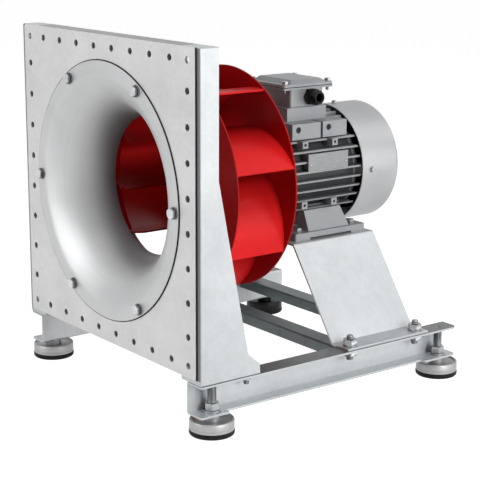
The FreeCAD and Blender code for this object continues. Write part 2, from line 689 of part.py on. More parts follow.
# Inlet nozzle: one spun sheet, a flat flange that turns in a quarter circle
# into the throat.
body = new_body("inlet_nozzle")
sketch = sketch_on(body, "XY")
bell = nozzle_turn - nozzle_throat
bell_end = bell - nozzle_sheet
outline(sketch, [
    (nozzle_rim, 0),
    (nozzle_rim, -nozzle_sheet),
    (nozzle_turn, -nozzle_sheet),
    (nozzle_throat, bell_end, bell, nozzle_turn, bell_end, -1),
    (nozzle_throat, nozzle_depth),
    (nozzle_throat + nozzle_sheet, nozzle_depth),
    (nozzle_throat + nozzle_sheet, bell_end),
    (nozzle_turn, 0, bell_end, nozzle_turn, bell_end, 1),
])
revolve(body, sketch)
sketch = sketch_on(body, "XZ", -nozzle_sheet)
ring(sketch, nozzle_bolt_ring, 0, small_hole / 2)
cut = pocket(body, sketch, nozzle_sheet)
polar(body, cut, "Y_Axis", 6)

# Nozzle bolts: six hexagon screws with washers in front and nuts behind.
template = solid_of(bolt_piece("NozzleBolt", frame_across, frame_head, frame_shank, bolt_length))
washer = solid_of(washer_piece("FrameWasher", wide_washer, small_hole / 2, wash_thick))
small_nut = solid_of(hexagon_piece("FrameNut", frame_across, frame_nut, frame_shank + thread_gap))
bolts = []
washers = []
nuts = []
for turn in range(6):
    front = nozzle_sheet + wash_thick
    bolts.append(turned(stand(template, nozzle_bolt_ring, -front, 0, "front"), 60 * turn))
    washers.append(turned(stand(washer, nozzle_bolt_ring, -nozzle_sheet, 0, "front"), 60 * turn))
    nuts.append(turned(stand(small_nut, nozzle_bolt_ring, plate_thick, 0, "back"), 60 * turn))
group("nozzle_bolts", bolts)
group("nozzle_washers", washers)
group("nozzle_nuts", nuts)

# Stiffeners: a folded angle behind the top and the bottom edge of the plate,
# with a hole behind each edge hole.
stiff_end = fold_inner - 1
for node, sign in (("stiffener_top", 1), ("stiffener_bottom", -1)):
    body = new_body(node)
    sketch = sketch_on(body, "YZ", -stiff_end)
    outline(sketch, [
        (fold_front, plate_half * sign),
        (fold_front + fold_depth, plate_half * sign),
        (fold_front + fold_depth, (plate_half - fold_sheet) * sign),
        (fold_front + fold_sheet, (plate_half - fold_sheet) * sign),
        (fold_front + fold_sheet, (plate_half - stiff_flange) * sign),
        (fold_front, (plate_half - stiff_flange) * sign),
    ])
    pad(body, sketch, stiff_end * 2)
    sketch = sketch_on(body, "XZ", fold_front)
    for step in EDGE_STEPS:
        ring(sketch, hole_pitch * step, hole_corner * sign, fold_hole / 2)
    pocket(body, sketch, fold_sheet)
    corner_z = val(plate_half) * sign
    dress(body, "Fillet", 2, lambda edge: straight_along(edge, X_AXIS)
          and abs(edge.Vertexes[0].Y - val(fold_front)) < 1e-6
          and abs(edge.Vertexes[0].Z - corner_z) < 1e-6)

# Side brackets: front flange behind the plate, side web that widens towards
# the rail, foot flange on the rail and a short fold along the top.
bracket_top = plate_half
for node, sign in (("bracket_right", 1), ("bracket_left", -1)):
    body = new_body(node)
    face = frame_outer * sign - (fold_sheet if sign > 0 else 0)
    sketch = sketch_on(body, "YZ", face)
    outline(sketch, [
        (fold_front, rail_top),
        (bracket_foot, rail_top),
        (bracket_foot - 1, rail_top + 14),
        (bracket_low_y, bracket_low_z),
        (fold_front + fold_depth, bracket_waist),
        (fold_front + fold_depth, bracket_top),
        (fold_front, bracket_top),
    ])
    pad(body, sketch, fold_sheet)
    sketch = sketch_on(body, "XZ", fold_front)
    rectangle(sketch, frame_outer * sign, rail_top, fold_inner * sign, bracket_top)
    pad(body, sketch, fold_sheet)
    sketch = sketch_on(body, "XY", rail_top)
    rectangle(sketch, frame_outer * sign, fold_front, (frame_outer - rail_flange) * sign,
              bracket_foot)
    pad(body, sketch, fold_sheet)
    sketch = sketch_on(body, "XY", bracket_top - fold_sheet)
    rectangle(sketch, frame_outer * sign, fold_front, fold_inner * sign, fold_front + fold_depth)
    pad(body, sketch, fold_sheet)
    sketch = sketch_on(body, "XZ", fold_front)
    for step in EDGE_STEPS:
        ring(sketch, hole_corner * sign, hole_pitch * step, fold_hole / 2)
    for side_z in (-1, 1):
        ring(sketch, hole_corner * sign, hole_corner * side_z, fold_hole / 2)
    pocket(body, sketch, fold_sheet)
    sketch = sketch_on(body, "XY", rail_top)
    ring(sketch, foot_x * sign, bracket_bolt_y, small_hole / 2)
    pocket(body, sketch, fold_sheet)
    outer_x = val(frame_outer) * sign
    dress(body, "Fillet", 2.2, lambda edge: straight_along(edge, Z_AXIS)
          and edge.Length > 100
          and abs(edge.Vertexes[0].X - outer_x) < 1e-6
          and abs(edge.Vertexes[0].Y - val(fold_front)) < 1e-6)
    dress(body, "Fillet", 2.2, lambda edge: straight_along(edge, Y_AXIS)
          and edge.Length > 20
          and abs(edge.Vertexes[0].X - outer_x) < 1e-6
          and (abs(edge.Vertexes[0].Z - val(rail_top)) < 1e-6
               or abs(edge.Vertexes[0].Z - val(bracket_top)) < 1e-6))

# Rails: channels with the web inboard. The bottom flange keeps its full width
# only at the foot tabs.
rail_bottom = rail_top - rail_height
rail_web = frame_outer - rail_flange
for node, sign in (("rail_right", 1), ("rail_left", -1)):
    body = new_body(node)
    sketch = sketch_on(body, "XZ", rail_front)
    outline(sketch, [
        (rail_web * sign, rail_top),
        (frame_outer * sign, rail_top),
        (frame_outer * sign, rail_top - rail_sheet),
        ((rail_web + rail_sheet) * sign, rail_top - rail_sheet),
        ((rail_web + rail_sheet) * sign, rail_bottom + rail_sheet),
        (frame_outer * sign, rail_bottom + rail_sheet),
        (frame_outer * sign, rail_bottom),
        (rail_web * sign, rail_bottom),
    ])
    pad(body, sketch, rail_rear - rail_front)
    sketch = sketch_on(body, "XY", rail_bottom)
    inner = (frame_outer - rail_step) * sign
    rectangle(sketch, inner, tab_front, (frame_outer + 1) * sign, tab_rear)
    pocket(body, sketch, rail_sheet)
    sketch = sketch_on(body, "XY", rail_bottom)
    ring(sketch, foot_x * sign, foot_front, stud_hole / 2)
    ring(sketch, foot_x * sign, foot_rear, stud_hole / 2)
    pocket(body, sketch, rail_sheet)
    sketch = sketch_on(body, "XY", rail_top - rail_sheet)
    for place in (foot_front, foot_rear, bracket_bolt_y):
        ring(sketch, foot_x * sign, place, small_hole / 2)
    for place in (pedestal_stud_a, pedestal_stud_b):
        ring(sketch, foot_x * sign, place, big_hole / 2)
    pocket(body, sketch, rail_sheet)
    outer_x = val(frame_outer) * sign
    web_x = val(rail_web) * sign
    dress(body, "Fillet", 8, lambda edge: straight_along(edge, Z_AXIS)
          and edge.Length < 5
          and abs(edge.Vertexes[0].X - outer_x) < 1e-6
          and abs(edge.Vertexes[0].Y - val(rail_rear)) < 1e-6)
    dress(body, "Fillet", 3, lambda edge: straight_along(edge, Z_AXIS)
          and edge.Length < 5
          and abs(edge.Vertexes[0].X - outer_x) < 1e-6)
    dress(body, "Fillet", 3, lambda edge: straight_along(edge, Y_AXIS)
          and abs(edge.Vertexes[0].X - web_x) < 1e-6)

# Cross bars: two folded channels, open downwards, welded between the webs.
bar_top = rail_top - 1
for node, front in (("crossbar_front", pedestal_front + 1),
                    ("crossbar_rear", pedestal_rear - crossbar_wide - 1)):
    body = new_body(node)
    sketch = sketch_on(body, "YZ", -rail_web)
    outline(sketch, [
        (front, bar_top),
        (front + crossbar_wide, bar_top),
        (front + crossbar_wide, bar_top - crossbar_high),
        (front + crossbar_wide - fold_sheet, bar_top - crossbar_high),
        (front + crossbar_wide - fold_sheet, bar_top - fold_sheet),
        (front + fold_sheet, bar_top - fold_sheet),
        (front + fold_sheet, bar_top - crossbar_high),
        (front, bar_top - crossbar_high),
    ])
    pad(body, sketch, rail_web * 2)
    dress(body, "Fillet", 2.2, lambda edge: straight_along(edge, X_AXIS)
          and abs(edge.Vertexes[0].Z - val(bar_top)) < 1e-6)

# Bracket bolts: one through each bracket foot and rail flange.
template = solid_of(bolt_piece("BracketBolt", frame_across, frame_head, frame_shank, bracket_shank))
bracket_seat = rail_top + fold_sheet
group("bracket_bolts", [stand(template, foot_x * sign, bracket_bolt_y, bracket_seat)
                        for sign in (-1, 1)])
group("bracket_nuts", [stand(small_nut, foot_x * sign, bracket_bolt_y,
                             rail_top - rail_sheet, "down") for sign in (-1, 1)])

# Motor pedestal: one folded sheet, a flat top for the motor feet, two sloping
# sides and a flange on each rail.
body = new_body("motor_pedestal")
pedestal_top = -shaft_height
flange_top = rail_top + pedestal_sheet
sketch = sketch_on(body, "XZ", pedestal_front)
inner_top = pedestal_top - pedestal_sheet
outline(sketch, [
    (-pedestal_edge, rail_top),
    (-pedestal_base + pedestal_inset, rail_top),
    (-pedestal_half + pedestal_inset, inner_top),
    (pedestal_half - pedestal_inset, inner_top),
    (pedestal_base - pedestal_inset, rail_top),
    (pedestal_edge, rail_top),
    (pedestal_edge, flange_top),
    (pedestal_base, flange_top),
    (pedestal_half, pedestal_top),
    (-pedestal_half, pedestal_top),
    (-pedestal_base, flange_top),
    (-pedestal_edge, flange_top),
])
pad(body, sketch, pedestal_rear - pedestal_front)
for height, bend in ((pedestal_top, 5), (inner_top, 2), (flange_top, 2), (rail_top, 5)):
    dress(body, "Fillet", bend, lambda edge: straight_along(edge, Y_AXIS)
          and abs(edge.Vertexes[0].Z - val(height)) < 1e-6
          and abs(edge.Vertexes[0].X) < val(pedestal_edge) - 1)
sketch = sketch_on(body, "XY", rail_top)
for sign in (-1, 1):
    for place in (pedestal_stud_a, pedestal_stud_b):
        ring(sketch, foot_x * sign, place, big_hole / 2)
pocket(body, sketch, pedestal_sheet)
sketch = sketch_on(body, "XY", pedestal_top - pedestal_sheet)
for sign in (-1, 1):
    for place in (motor_bolt_a, motor_bolt_b):
        ring(sketch, motor_bolt_x * sign, place, small_hole / 2)
pocket(body, sketch, pedestal_sheet)

# Pedestal studs: a stud with a nut and washer above the flange and a nut
# below it, two on each rail.
stud = solid_of(rod("PedestalStud", big_shank, stud_up + stud_down))
washer = solid_of(washer_piece("StudWasher", big_washer, big_hole / 2, big_washer_thick))
nut = solid_of(hexagon_piece("StudNut", big_across, big_nut_high, big_shank + thread_gap))
places = [(foot_x * sign, place) for sign in (-1, 1)
          for place in (pedestal_stud_a, pedestal_stud_b)]
group("pedestal_studs", [stand(stud, x, y, flange_top - stud_down) for x, y in places])
group("pedestal_washers", [stand(washer, x, y, flange_top) for x, y in places])
nuts = [stand(nut, x, y, flange_top + big_washer_thick) for x, y in places]
nuts += [stand(nut, x, y, rail_top - rail_sheet, "down") for x, y in places]
group("pedestal_nuts", nuts)

# Motor foot bolts with nuts under the pedestal top.
template = solid_of(bolt_piece("MotorBolt", frame_across, frame_head, frame_shank, foot_shank))
places = [(motor_bolt_x * sign, place) for sign in (-1, 1)
          for place in (motor_bolt_a, motor_bolt_b)]
foot_top = pedestal_top + motor_foot_thick
group("motor_foot_bolts", [stand(template, x, y, foot_top) for x, y in places])
group("motor_foot_nuts", [stand(small_nut, x, y, pedestal_top - pedestal_sheet, "down")
                          for x, y in places])

# Feet: a turned metal cup over a rubber pad. A threaded stud runs from the cup
# through the rail's bottom flange, with a nut on that flange.
floor = -axis_height
cup_base = floor + pad_high
cup_top = cup_base + cup_high
cup_floor = cup_top - cup_wall * 2
cup_tool = doc.addObject("PartDesign::Body", "CupTool")
sketch = sketch_on(cup_tool, "XZ")
outline(sketch, [
    (stud_radius + thread_gap, cup_floor),
    (stud_radius + thread_gap, rail_bottom),
    (boss_radius, rail_bottom),
    (boss_radius, cup_top - cup_wall),
    (cup_radius - cup_wall, cup_top - cup_wall),
    (cup_radius - cup_wall, cup_top),
    (cup_radius - cup_bevel, cup_top),
    (cup_radius, cup_top - cup_bevel),
    (cup_radius, cup_base),
    (cup_radius - cup_wall, cup_base),
    (cup_radius - cup_wall, cup_floor),
])
revolve(cup_tool, sketch)
cup = solid_of(cup_tool)
pad_tool = doc.addObject("PartDesign::Body", "PadTool")
sketch = sketch_on(pad_tool, "XZ")
outline(sketch, [
    (0, floor),
    (pad_radius - pad_bevel, floor),
    (pad_radius, floor + pad_bevel),
    (pad_radius, cup_base),
    (cup_radius - cup_wall, cup_base),
    (cup_radius - cup_wall, cup_floor),
    (0, cup_floor),
])
revolve(pad_tool, sketch)
rubber = solid_of(pad_tool)
stud_low = cup_floor
stud_high = rail_top - rail_sheet - stud_low - stud_top_gap
stud = solid_of(rod("FootStud", stud_radius, stud_high))
big_nut = solid_of(hexagon_piece("FootNut", stud_across, stud_nut, stud_radius + thread_gap))
washer = solid_of(washer_piece("FootWasher", stud_washer, stud_hole / 2, stud_washer_thick))
places = [(foot_x * sign, place) for place in (foot_front, foot_rear) for sign in (-1, 1)]
group("foot_cups", [stand(cup, x, y, 0) for x, y in places])
group("foot_pads", [stand(rubber, x, y, 0) for x, y in places])
group("foot_studs", [stand(stud, x, y, stud_low) for x, y in places])
nut_low = rail_bottom + rail_sheet + stud_washer_thick
group("foot_nuts", [stand(big_nut, x, y, nut_low) for x, y in places])
group("foot_washers", [stand(washer, x, y, rail_bottom + rail_sheet) for x, y in places])


def tube_y(outer, inner, front, rear):
    """A tube about the fan axis, or a disc when inner is zero."""
    shape = Part.makeCylinder(val(outer), val(rear) - val(front), Vector(0, val(front), 0), Y_AXIS)
    if val(inner) > 0:
        shape = shape.cut(Part.makeCylinder(val(inner), val(rear) - val(front) + 2,
                                            Vector(0, val(front) - 1, 0), Y_AXIS))
    return shape


def block(x0, x1, y0, y1, z0, z1):
    low = Vector(min(val(x0), val(x1)), min(val(y0), val(y1)), min(val(z0), val(z1)))
    return Part.makeBox(abs(val(x1) - val(x0)), abs(val(y1) - val(y0)), abs(val(z1) - val(z0)), low)


def bored_hole(x, y, z, radius, depth, direction):
    return Part.makeCylinder(val(radius), val(depth), Vector(val(x), val(y), val(z)), direction)


def turned_face(points):
    """A solid of revolution about the fan axis from (radius, y) points."""
    wire = Part.makePolygon([Vector(val(r), val(y), 0) for r, y in points + points[:1]])
    return Part.Face(wire).revolve(Vector(0, 0, 0), Y_AXIS, 360)


def feature(node, shape):
    item = doc.addObject("Part::Feature", "Piece_" + node)
    item.Shape = shape
    item.Placement = Placement()
    return keep(node, item)


# Motor housing: a die-cast tube with level fins on both sides, upright fins on
# top and bottom, fixing pads, tapped bosses and the seat of the terminal box.
core = tube_y(housing_core, 0, housing_front, housing_rear)
fin_limit = tube_y(fin_tip, 0, housing_front, fin_rear)
fin_front = housing_front + fin_step
half_fin = fin_thick / 2
pieces = []
for level in (0.5, 1.5, 2.5, 3.5):
    for sign in (-1, 1):
        z = fin_pitch * level * sign
        fin = block(-fin_tip, fin_tip, fin_front, fin_rear, z - half_fin, z + half_fin)
        pieces.append(fin.common(fin_limit))
for level in (-3, -2, -1, 0, 1, 2, 3):
    x = fin_top_pitch * level
    fin = block(x - half_fin, x + half_fin, fin_front, fin_rear, -fin_tip, fin_tip)
    pieces.append(fin.common(fin_limit))
pad_ends = [(pad_front, pad_middle - pad_gap / 2), (pad_middle + pad_gap / 2, pad_rear)]
low_pad_rear = low_pad_front + low_pad_long
boss_places = [(y, z) for y in (boss_a, boss_b) for z in (boss_high, boss_low)]
for sign in (-1, 1):
    for front, rear in pad_ends:
        pieces.append(block(pad_root * sign, side_pad * sign, front, rear, pad_low, pad_top))
    pieces.append(block(pad_root * sign, low_pad * sign, low_pad_front, low_pad_rear,
                        low_pad_low, low_pad_top))
    for y, z in boss_places:
        pieces.append(block(boss_root * sign, boss_face * sign, y - boss_half, y + boss_half,
                            z - boss_half, z + boss_half))
pieces.append(block(-seat_half, seat_half, seat_front, seat_rear, seat_root, box_floor))
pieces.append(block(seat_root, plate_x, plate_front + plate_margin, plate_rear - plate_margin,
                    plate_low + plate_margin, plate_high - plate_margin))
for angle in LUG_ANGLES:
    lug = block(lug_inner, lug_outer, housing_front, housing_front + lug_long, -lug_half, lug_half)
    pieces.append(turned(lug, angle))
housing = core.fuse(pieces)
drill = [tube_y(housing_bore, 0, housing_front - 1, fin_rear + 1),
         tube_y(housing_core + thread_gap, 0, housing_rear, fin_rear + 1),
         block(plate_x, boss_face * 2, plate_front - plate_gap, plate_rear + plate_gap,
               plate_low - plate_gap, plate_high + plate_gap)]
for angle in LUG_ANGLES:
    drill.append(turned(bored_hole(shield_bolt_ring, housing_front - 1, 0,
                                   shield_shank + thread_gap, lug_long, Y_AXIS), angle))
for sign in (-1, 1):
    inward = Vector(-sign, 0, 0)
    for front, rear in pad_ends:
        drill.append(bored_hole(side_pad * sign, front + pad_hole_in, pad_top - pad_hole_down,
                                pad_hole, pad_hole_deep, inward))
    for y, z in boss_places:
        drill.append(bored_hole(boss_face * sign, y, z, boss_tap, boss_tap_deep, inward))
box_middle = (box_front + box_rear) / 2
drill.append(bored_hole(0, box_middle, 0, wire_hole, box_floor + 1, Z_AXIS))
housing = housing.cut(drill)
feature("motor_housing", housing.removeSplitter())

# Motor feet: a plate with a sloping block that is fixed to the lower pads. The
# underside is relieved in the middle.
block_top = -fin_pitch * 3.5 - fin_thick / 2 - plate_gap
for node, sign in (("motor_foot_right", 1), ("motor_foot_left", -1)):
    body = new_body(node)
    sketch = sketch_on(body, "XY", pedestal_top)
    inner = (motor_foot_edge - motor_foot_wide) * sign
    rectangle(sketch, inner, motor_foot_front, motor_foot_edge * sign, motor_foot_rear)
    pad(body, sketch, motor_foot_thick)
    sketch = sketch_on(body, "XZ", low_pad_front)
    outline(sketch, [
        (low_pad * sign, foot_top - 1),
        ((motor_foot_edge - foot_block_in) * sign, foot_top - 1),
        ((low_pad + foot_block_top) * sign, block_top),
        (low_pad * sign, block_top),
    ])
    pad(body, sketch, low_pad_long)
    sketch = sketch_on(body, "YZ", low_pad if sign > 0 else -motor_foot_edge)
    outline(sketch, [
        (low_pad_rear, foot_top),
        (low_pad_rear - foot_block_slant, block_top),
        (low_pad_rear, block_top),
    ])
    pocket(body, sketch, motor_foot_edge - low_pad)
    sketch = sketch_on(body, "XY", pedestal_top)
    rectangle(sketch, inner - sign, motor_foot_front + foot_land, (motor_foot_edge + 1) * sign,
              motor_foot_rear - foot_land)
    pocket(body, sketch, foot_relief)
    sketch = sketch_on(body, "XY", pedestal_top)
    for place in (motor_bolt_a, motor_bolt_b):
        ring(sketch, motor_bolt_x * sign, place, small_hole / 2)
    pocket(body, sketch, motor_foot_thick)
    outer_x = val(motor_foot_edge) * sign
    dress(body, "Fillet", foot_corner, lambda edge: straight_along(edge, Z_AXIS)
          and edge.Length > 10
          and abs(edge.Vertexes[0].X - outer_x) < 1e-6)

# End shields: cast discs with the bearing seats. The rear one carries a lug
# for the cowl on each side and on top.
bore_fit = housing_bore - thread_gap
rim_inner = housing_bore - shield_wall
front_face = housing_front - shield_deep
bearing_front_end = bearing_front + bearing_wide
shape = turned_face([
    (shaft_hole, bearing_front - seal_wide), (shield_hub, bearing_front - seal_wide),
    (shield_hub + shield_slope, bearing_front), (rim_inner, front_face - rim_step),
    (housing_bore, front_face), (shield_radius, front_face), (shield_radius, housing_front),
    (bore_fit, housing_front), (bore_fit, housing_front + spigot),
    (rim_inner, housing_front + spigot), (rim_inner, housing_front - rim_step),
    (seat_outer + shield_wall, housing_front - rim_step),
    (seat_outer, bearing_front_end + 1), (bearing_outer, bearing_front_end + 1),
    (bearing_outer, bearing_front), (shaft_hole, bearing_front),
])
drill = []
for angle in LUG_ANGLES:
    drill.append(turned(bored_hole(shield_bolt_ring, front_face - 1, 0, shield_shank + thread_gap,
                                   lug_long, Y_AXIS), angle))
feature("end_shield_front", shape.cut(drill))
bearing_end = bearing_rear + bearing_wide
rear_face = housing_rear + shield_deep
shape = turned_face([
    (bearing_bore, bearing_end), (bearing_outer, bearing_end), (bearing_outer, bearing_rear - 1),
    (seat_outer, bearing_rear - 1), (seat_outer + shield_wall, housing_rear),
    (rim_inner, housing_rear), (rim_inner, housing_rear - spigot),
    (bore_fit, housing_rear - spigot),
    (bore_fit, housing_rear), (housing_core, housing_rear), (housing_core, rear_face),
    (shield_hub + shield_slope, rear_face), (seat_outer, bearing_end + seal_wide),
    (bearing_bore, bearing_end + seal_wide),
])
lugs = []
for angle in COWL_ANGLES:
    lug = block(seat_root, cowl_radius, housing_rear + fin_step, cowl_screw_y + cowl_lug,
                -lug_half, lug_half)
    lugs.append(turned(lug, angle))
cowl_inner = cowl_radius - cowl_sheet
round_limit = tube_y(cowl_inner - plate_gap, 0, housing_rear, cowl_rear)
shape = shape.fuse([lug.common(round_limit) for lug in lugs])
holes = [turned(bored_hole(fan_radius, cowl_screw_y, 0, cowl_shank + thread_gap, cowl_radius,
                           X_AXIS), angle) for angle in COWL_ANGLES]
feature("end_shield_rear", shape.cut(holes).removeSplitter())

# Shield bolts: four screws with round heads through the front shield.
socket_head = solid_of(joined("ShieldBolt", [rod("ShieldHead", shield_head, shield_head_high),
                                             rod("ShieldStem", shield_shank, shield_bolt_long)]))
group("shield_bolts", [turned(stand(socket_head, shield_bolt_ring, front_face - shield_head_high, 0,
                                    "back"), angle) for angle in LUG_ANGLES])

# Laminated stator core with its two winding heads.
feature("stator_core", tube_y(housing_bore - fit_gap, stator_radius, core_front, core_rear))
heads = []
for front, rear in ((core_front - winding_front, core_front),
                    (core_rear, core_rear + winding_rear)):
    head = tube_y(winding_outer, winding_inner, front, rear)
    far = val(front) if val(rear) <= val(core_front) else val(rear)
    round_edges = [edge for edge in head.Edges
                   if edge.Curve.TypeId == "Part::GeomCircle"
                   and abs(edge.Curve.Center.y - far) < 1e-6]
    heads.append(head.makeFillet(val(winding_round), round_edges))
group("stator_windings", heads)

# Deep-groove ball bearings: outer rings in the shields, balls, inner rings on
# the shaft.
race = ball_radius + ball_play
outer_rings = []
inner_rings = []
balls = []
ball_total = 9
for front in (bearing_front, bearing_rear):
    middle = front + bearing_wide / 2
    groove = Part.makeTorus(val(ball_ring), val(race), Vector(0, val(middle), 0), Y_AXIS)
    outer = tube_y(bearing_outer - fit_gap, ball_ring + 2, front, front + bearing_wide)
    outer_rings.append(outer.cut(groove))
    inner = tube_y(ball_ring - 2, bearing_bore + fit_gap, front, front + bearing_wide)
    inner_rings.append(inner.cut(groove))
    for number in range(ball_total):
        ball = Part.makeSphere(val(ball_radius), Vector(val(ball_ring), val(middle), 0))
        balls.append(turned(ball, 360.0 * number / ball_total))
group("bearing_outer_rings", outer_rings)
group("bearing_balls", balls)
group("bearing_inner_rings", inner_rings)

# Shaft seal: a rubber ring in the front shield, clear of the shaft.
feature("shaft_seal", tube_y(seal_radius, shaft_radius + shaft_swell + seal_gap,
                             bearing_front - seal_wide * 2, bearing_front - seal_wide))

# Fan cowl: a deep-drawn cup over the cooling fan with an air grille in its
# rear wall and a hole over each lug.
cowl = tube_y(cowl_radius, 0, cowl_front, cowl_rear)
rear_edge = [edge for edge in cowl.Edges if edge.Curve.TypeId == "Part::GeomCircle"
             and abs(edge.Curve.Center.y - val(cowl_rear)) < 1e-6]
cowl = cowl.makeFillet(val(cowl_bend), rear_edge)
hollow = tube_y(cowl_radius - cowl_sheet, 0, val(cowl_front) - 1, cowl_rear - cowl_sheet)
rear_edge = [edge for edge in hollow.Edges if edge.Curve.TypeId == "Part::GeomCircle"
             and abs(edge.Curve.Center.y - val(cowl_rear - cowl_sheet)) < 1e-6]
hollow = hollow.makeFillet(val(cowl_bend - cowl_sheet), rear_edge)
drill = [hollow]
grille_rows = [(cowl_radius * share, cowl_radius * (share + 0.18), count)
               for share, count in ((0.16, 12), (0.42, 20), (0.67, 28))]
for first, last, count in grille_rows:
    slot = block(first, last, cowl_rear - cowl_bend, cowl_rear + 1, -slot_half, slot_half)
    for number in range(count):
        drill.append(turned(slot, 360.0 * number / count))
for angle in COWL_ANGLES:
    drill.append(turned(bored_hole(fan_radius, cowl_screw_y, 0, cowl_shank + plate_gap, cowl_radius,
                                   X_AXIS), angle))
feature("fan_cowl", cowl.cut(drill))

# Cowl screws: one in each lug, with a hexagon head on a round collar.
screw = solid_of(bolt_piece("CowlScrew", cowl_across, cowl_head, cowl_shank, cowl_screw_long,
                            cowl_collar, lid_collar_thick))
group("cowl_screws", [turned(stand(screw, cowl_radius, cowl_screw_y, 0, "right"), angle)
                      for angle in COWL_ANGLES])

# Terminal box: a cast box on the housing seat with a flange under the lid.
body = new_body("terminal_box")
sketch = sketch_on(body, "XY", box_floor)
rectangle(sketch, -box_half, box_front, box_half, box_rear)
pad(body, sketch, lid_seat - box_floor)
sketch = sketch_on(body, "XY", lid_seat - box_flange)
rectangle(sketch, -lid_half, lid_front, lid_half, lid_rear)
pad(body, sketch, box_flange)
dress(body, "Fillet", box_corner, lambda edge: straight_along(edge, Z_AXIS))
sketch = sketch_on(body, "XY", box_floor + box_wall)
rectangle(sketch, -box_half + box_wall, box_front + box_wall, box_half - box_wall,
          box_rear - box_wall)
pocket(body, sketch, lid_seat - box_floor)
sketch = sketch_on(body, "XY", box_floor)
ring(sketch, 0, box_middle, wire_hole)
pocket(body, sketch, box_wall)
sketch = sketch_on(body, "XY", lid_seat - box_flange)
screw_x = lid_half - lid_screw_in
screw_places = [(screw_x * sign, place) for sign in (-1, 1)
                for place in (lid_front + lid_screw_in, lid_rear - lid_screw_in)]
for x, y in screw_places:
    ring(sketch, x, y, lid_screw_hole)
pocket(body, sketch, box_flange)
sketch = sketch_on(body, "YZ", box_half - box_wall)
ring(sketch, gland_y, gland_z, gland_wall_hole)
pocket(body, sketch, box_wall)

# Lid gasket and lid. The lid is bevelled up to a raised middle.
body = new_body("lid_gasket")
sketch = sketch_on(body, "XY", lid_seat)
rectangle(sketch, -lid_half + gasket_in, lid_front + gasket_in, lid_half - gasket_in,
          lid_rear - gasket_in)
rectangle(sketch, -box_half + box_wall, box_front + box_wall, box_half - box_wall,
          box_rear - box_wall)
pad(body, sketch, gasket)
sketch = sketch_on(body, "XY", lid_seat)
for x, y in screw_places:
    ring(sketch, x, y, lid_screw_hole)
pocket(body, sketch, gasket)
lid_base = lid_seat + gasket
lid_top = lid_base + lid_edge
body = new_body("terminal_lid")
sketch = sketch_on(body, "XY", lid_base)
rectangle(sketch, -lid_half, lid_front, lid_half, lid_rear)
pad(body, sketch, lid_edge)
dress(body, "Fillet", lid_corner, lambda edge: straight_along(edge, Z_AXIS))
low_sketch = sketch_on(body, "XY", lid_top)
rectangle(low_sketch, -lid_half + lid_side, lid_front + lid_end, lid_half - lid_side,
          lid_rear - lid_end)
high_sketch = sketch_on(body, "XY", lid_top + lid_rise)
rectangle(high_sketch, -lid_half + lid_side + lid_bevel, lid_front + lid_end + lid_bevel,
          lid_half - lid_side - lid_bevel, lid_rear - lid_end - lid_bevel)
loft = body.newObject("PartDesign::AdditiveLoft", "Rise")
loft.Profile = low_sketch
loft.Sections = [high_sketch]
loft.Ruled = True
doc.recompute()
sketch = sketch_on(body, "XY", lid_base)
for x, y in screw_places:
    ring(sketch, x, y, lid_screw_hole)
pocket(body, sketch, lid_edge)

# Lid screws: four, with their ends below the box flange.
screw = solid_of(bolt_piece("LidScrew", lid_across, lid_head, lid_shank, lid_screw_long,
                            lid_collar, lid_collar_thick))
group("lid_screws", [stand(screw, x, y, lid_top) for x, y in screw_places])

# Terminal block: a moulded base with six studs.
block_base = box_floor + box_wall
base = block(-block_half, block_half, box_middle - block_deep, box_middle + block_deep,
             block_base, block_base + block_high)
posts = []
for sign in (-1, 0, 1):
    for side in (-1, 1):
        place = Vector(val(post_pitch) * sign, val(box_middle + post_row * side), val(block_base))
        posts.append(Part.makeCylinder(val(post_radius), val(post_high), place, Z_AXIS))
feature("terminal_block", base.fuse(posts).removeSplitter())

# Cable gland on the right wall of the box: a hexagon body and a domed nut
# with the cable opening.
hexagon = Part.makePolygon([Vector(0, gland_corner * math.cos(math.radians(60 * k)),
                                   gland_corner * math.sin(math.radians(60 * k)))
                            for k in range(7)])
base_long = val(gland_base)
neck_end = base_long + val(gland_neck_long)
gland = Part.Face(hexagon).extrude(Vector(base_long, 0, 0))
gland = gland.fuse([bored_hole(0, 0, 0, gland_neck, neck_end, X_AXIS),
                    bored_hole(-gland_inside, 0, 0, gland_thread, gland_inside, X_AXIS)])
gland = gland.cut(bored_hole(-gland_inside * 2, 0, 0, gland_bore, gland_inside * 6, X_AXIS))
gland.translate(Vector(val(box_half), val(gland_y), val(gland_z)))
feature("gland_body", gland.removeSplitter())
dome = bored_hole(0, 0, 0, gland_nut_radius, gland_nut_long, X_AXIS)
rim = [edge for edge in dome.Edges if edge.Curve.TypeId == "Part::GeomCircle"
       and edge.Curve.Center.x > val(gland_nut_long) / 2]
dome = dome.makeFillet(val(gland_round), rim)
dome = dome.cut([bored_hole(-1, 0, 0, gland_neck + thread_gap, gland_neck_long + 2, X_AXIS),
                 bored_hole(-1, 0, 0, gland_bore, gland_nut_long * 2, X_AXIS)])
dome.translate(Vector(val(box_half) + base_long, val(gland_y), val(gland_z)))
feature("gland_nut", dome.removeSplitter())

# Rating plate: bare, on a flat pad between the fins, with two rivets.
feature("nameplate", block(plate_x, plate_x + plate_deep, plate_front, plate_rear, plate_low,
                           plate_high))
rivet = solid_of(rod("Rivet", rivet_radius, rivet_high))
group("nameplate_rivets", [stand(rivet, plate_x + plate_deep, y, rivet_z, "right")
                           for y in (plate_front + rivet_in, plate_rear - rivet_in)])

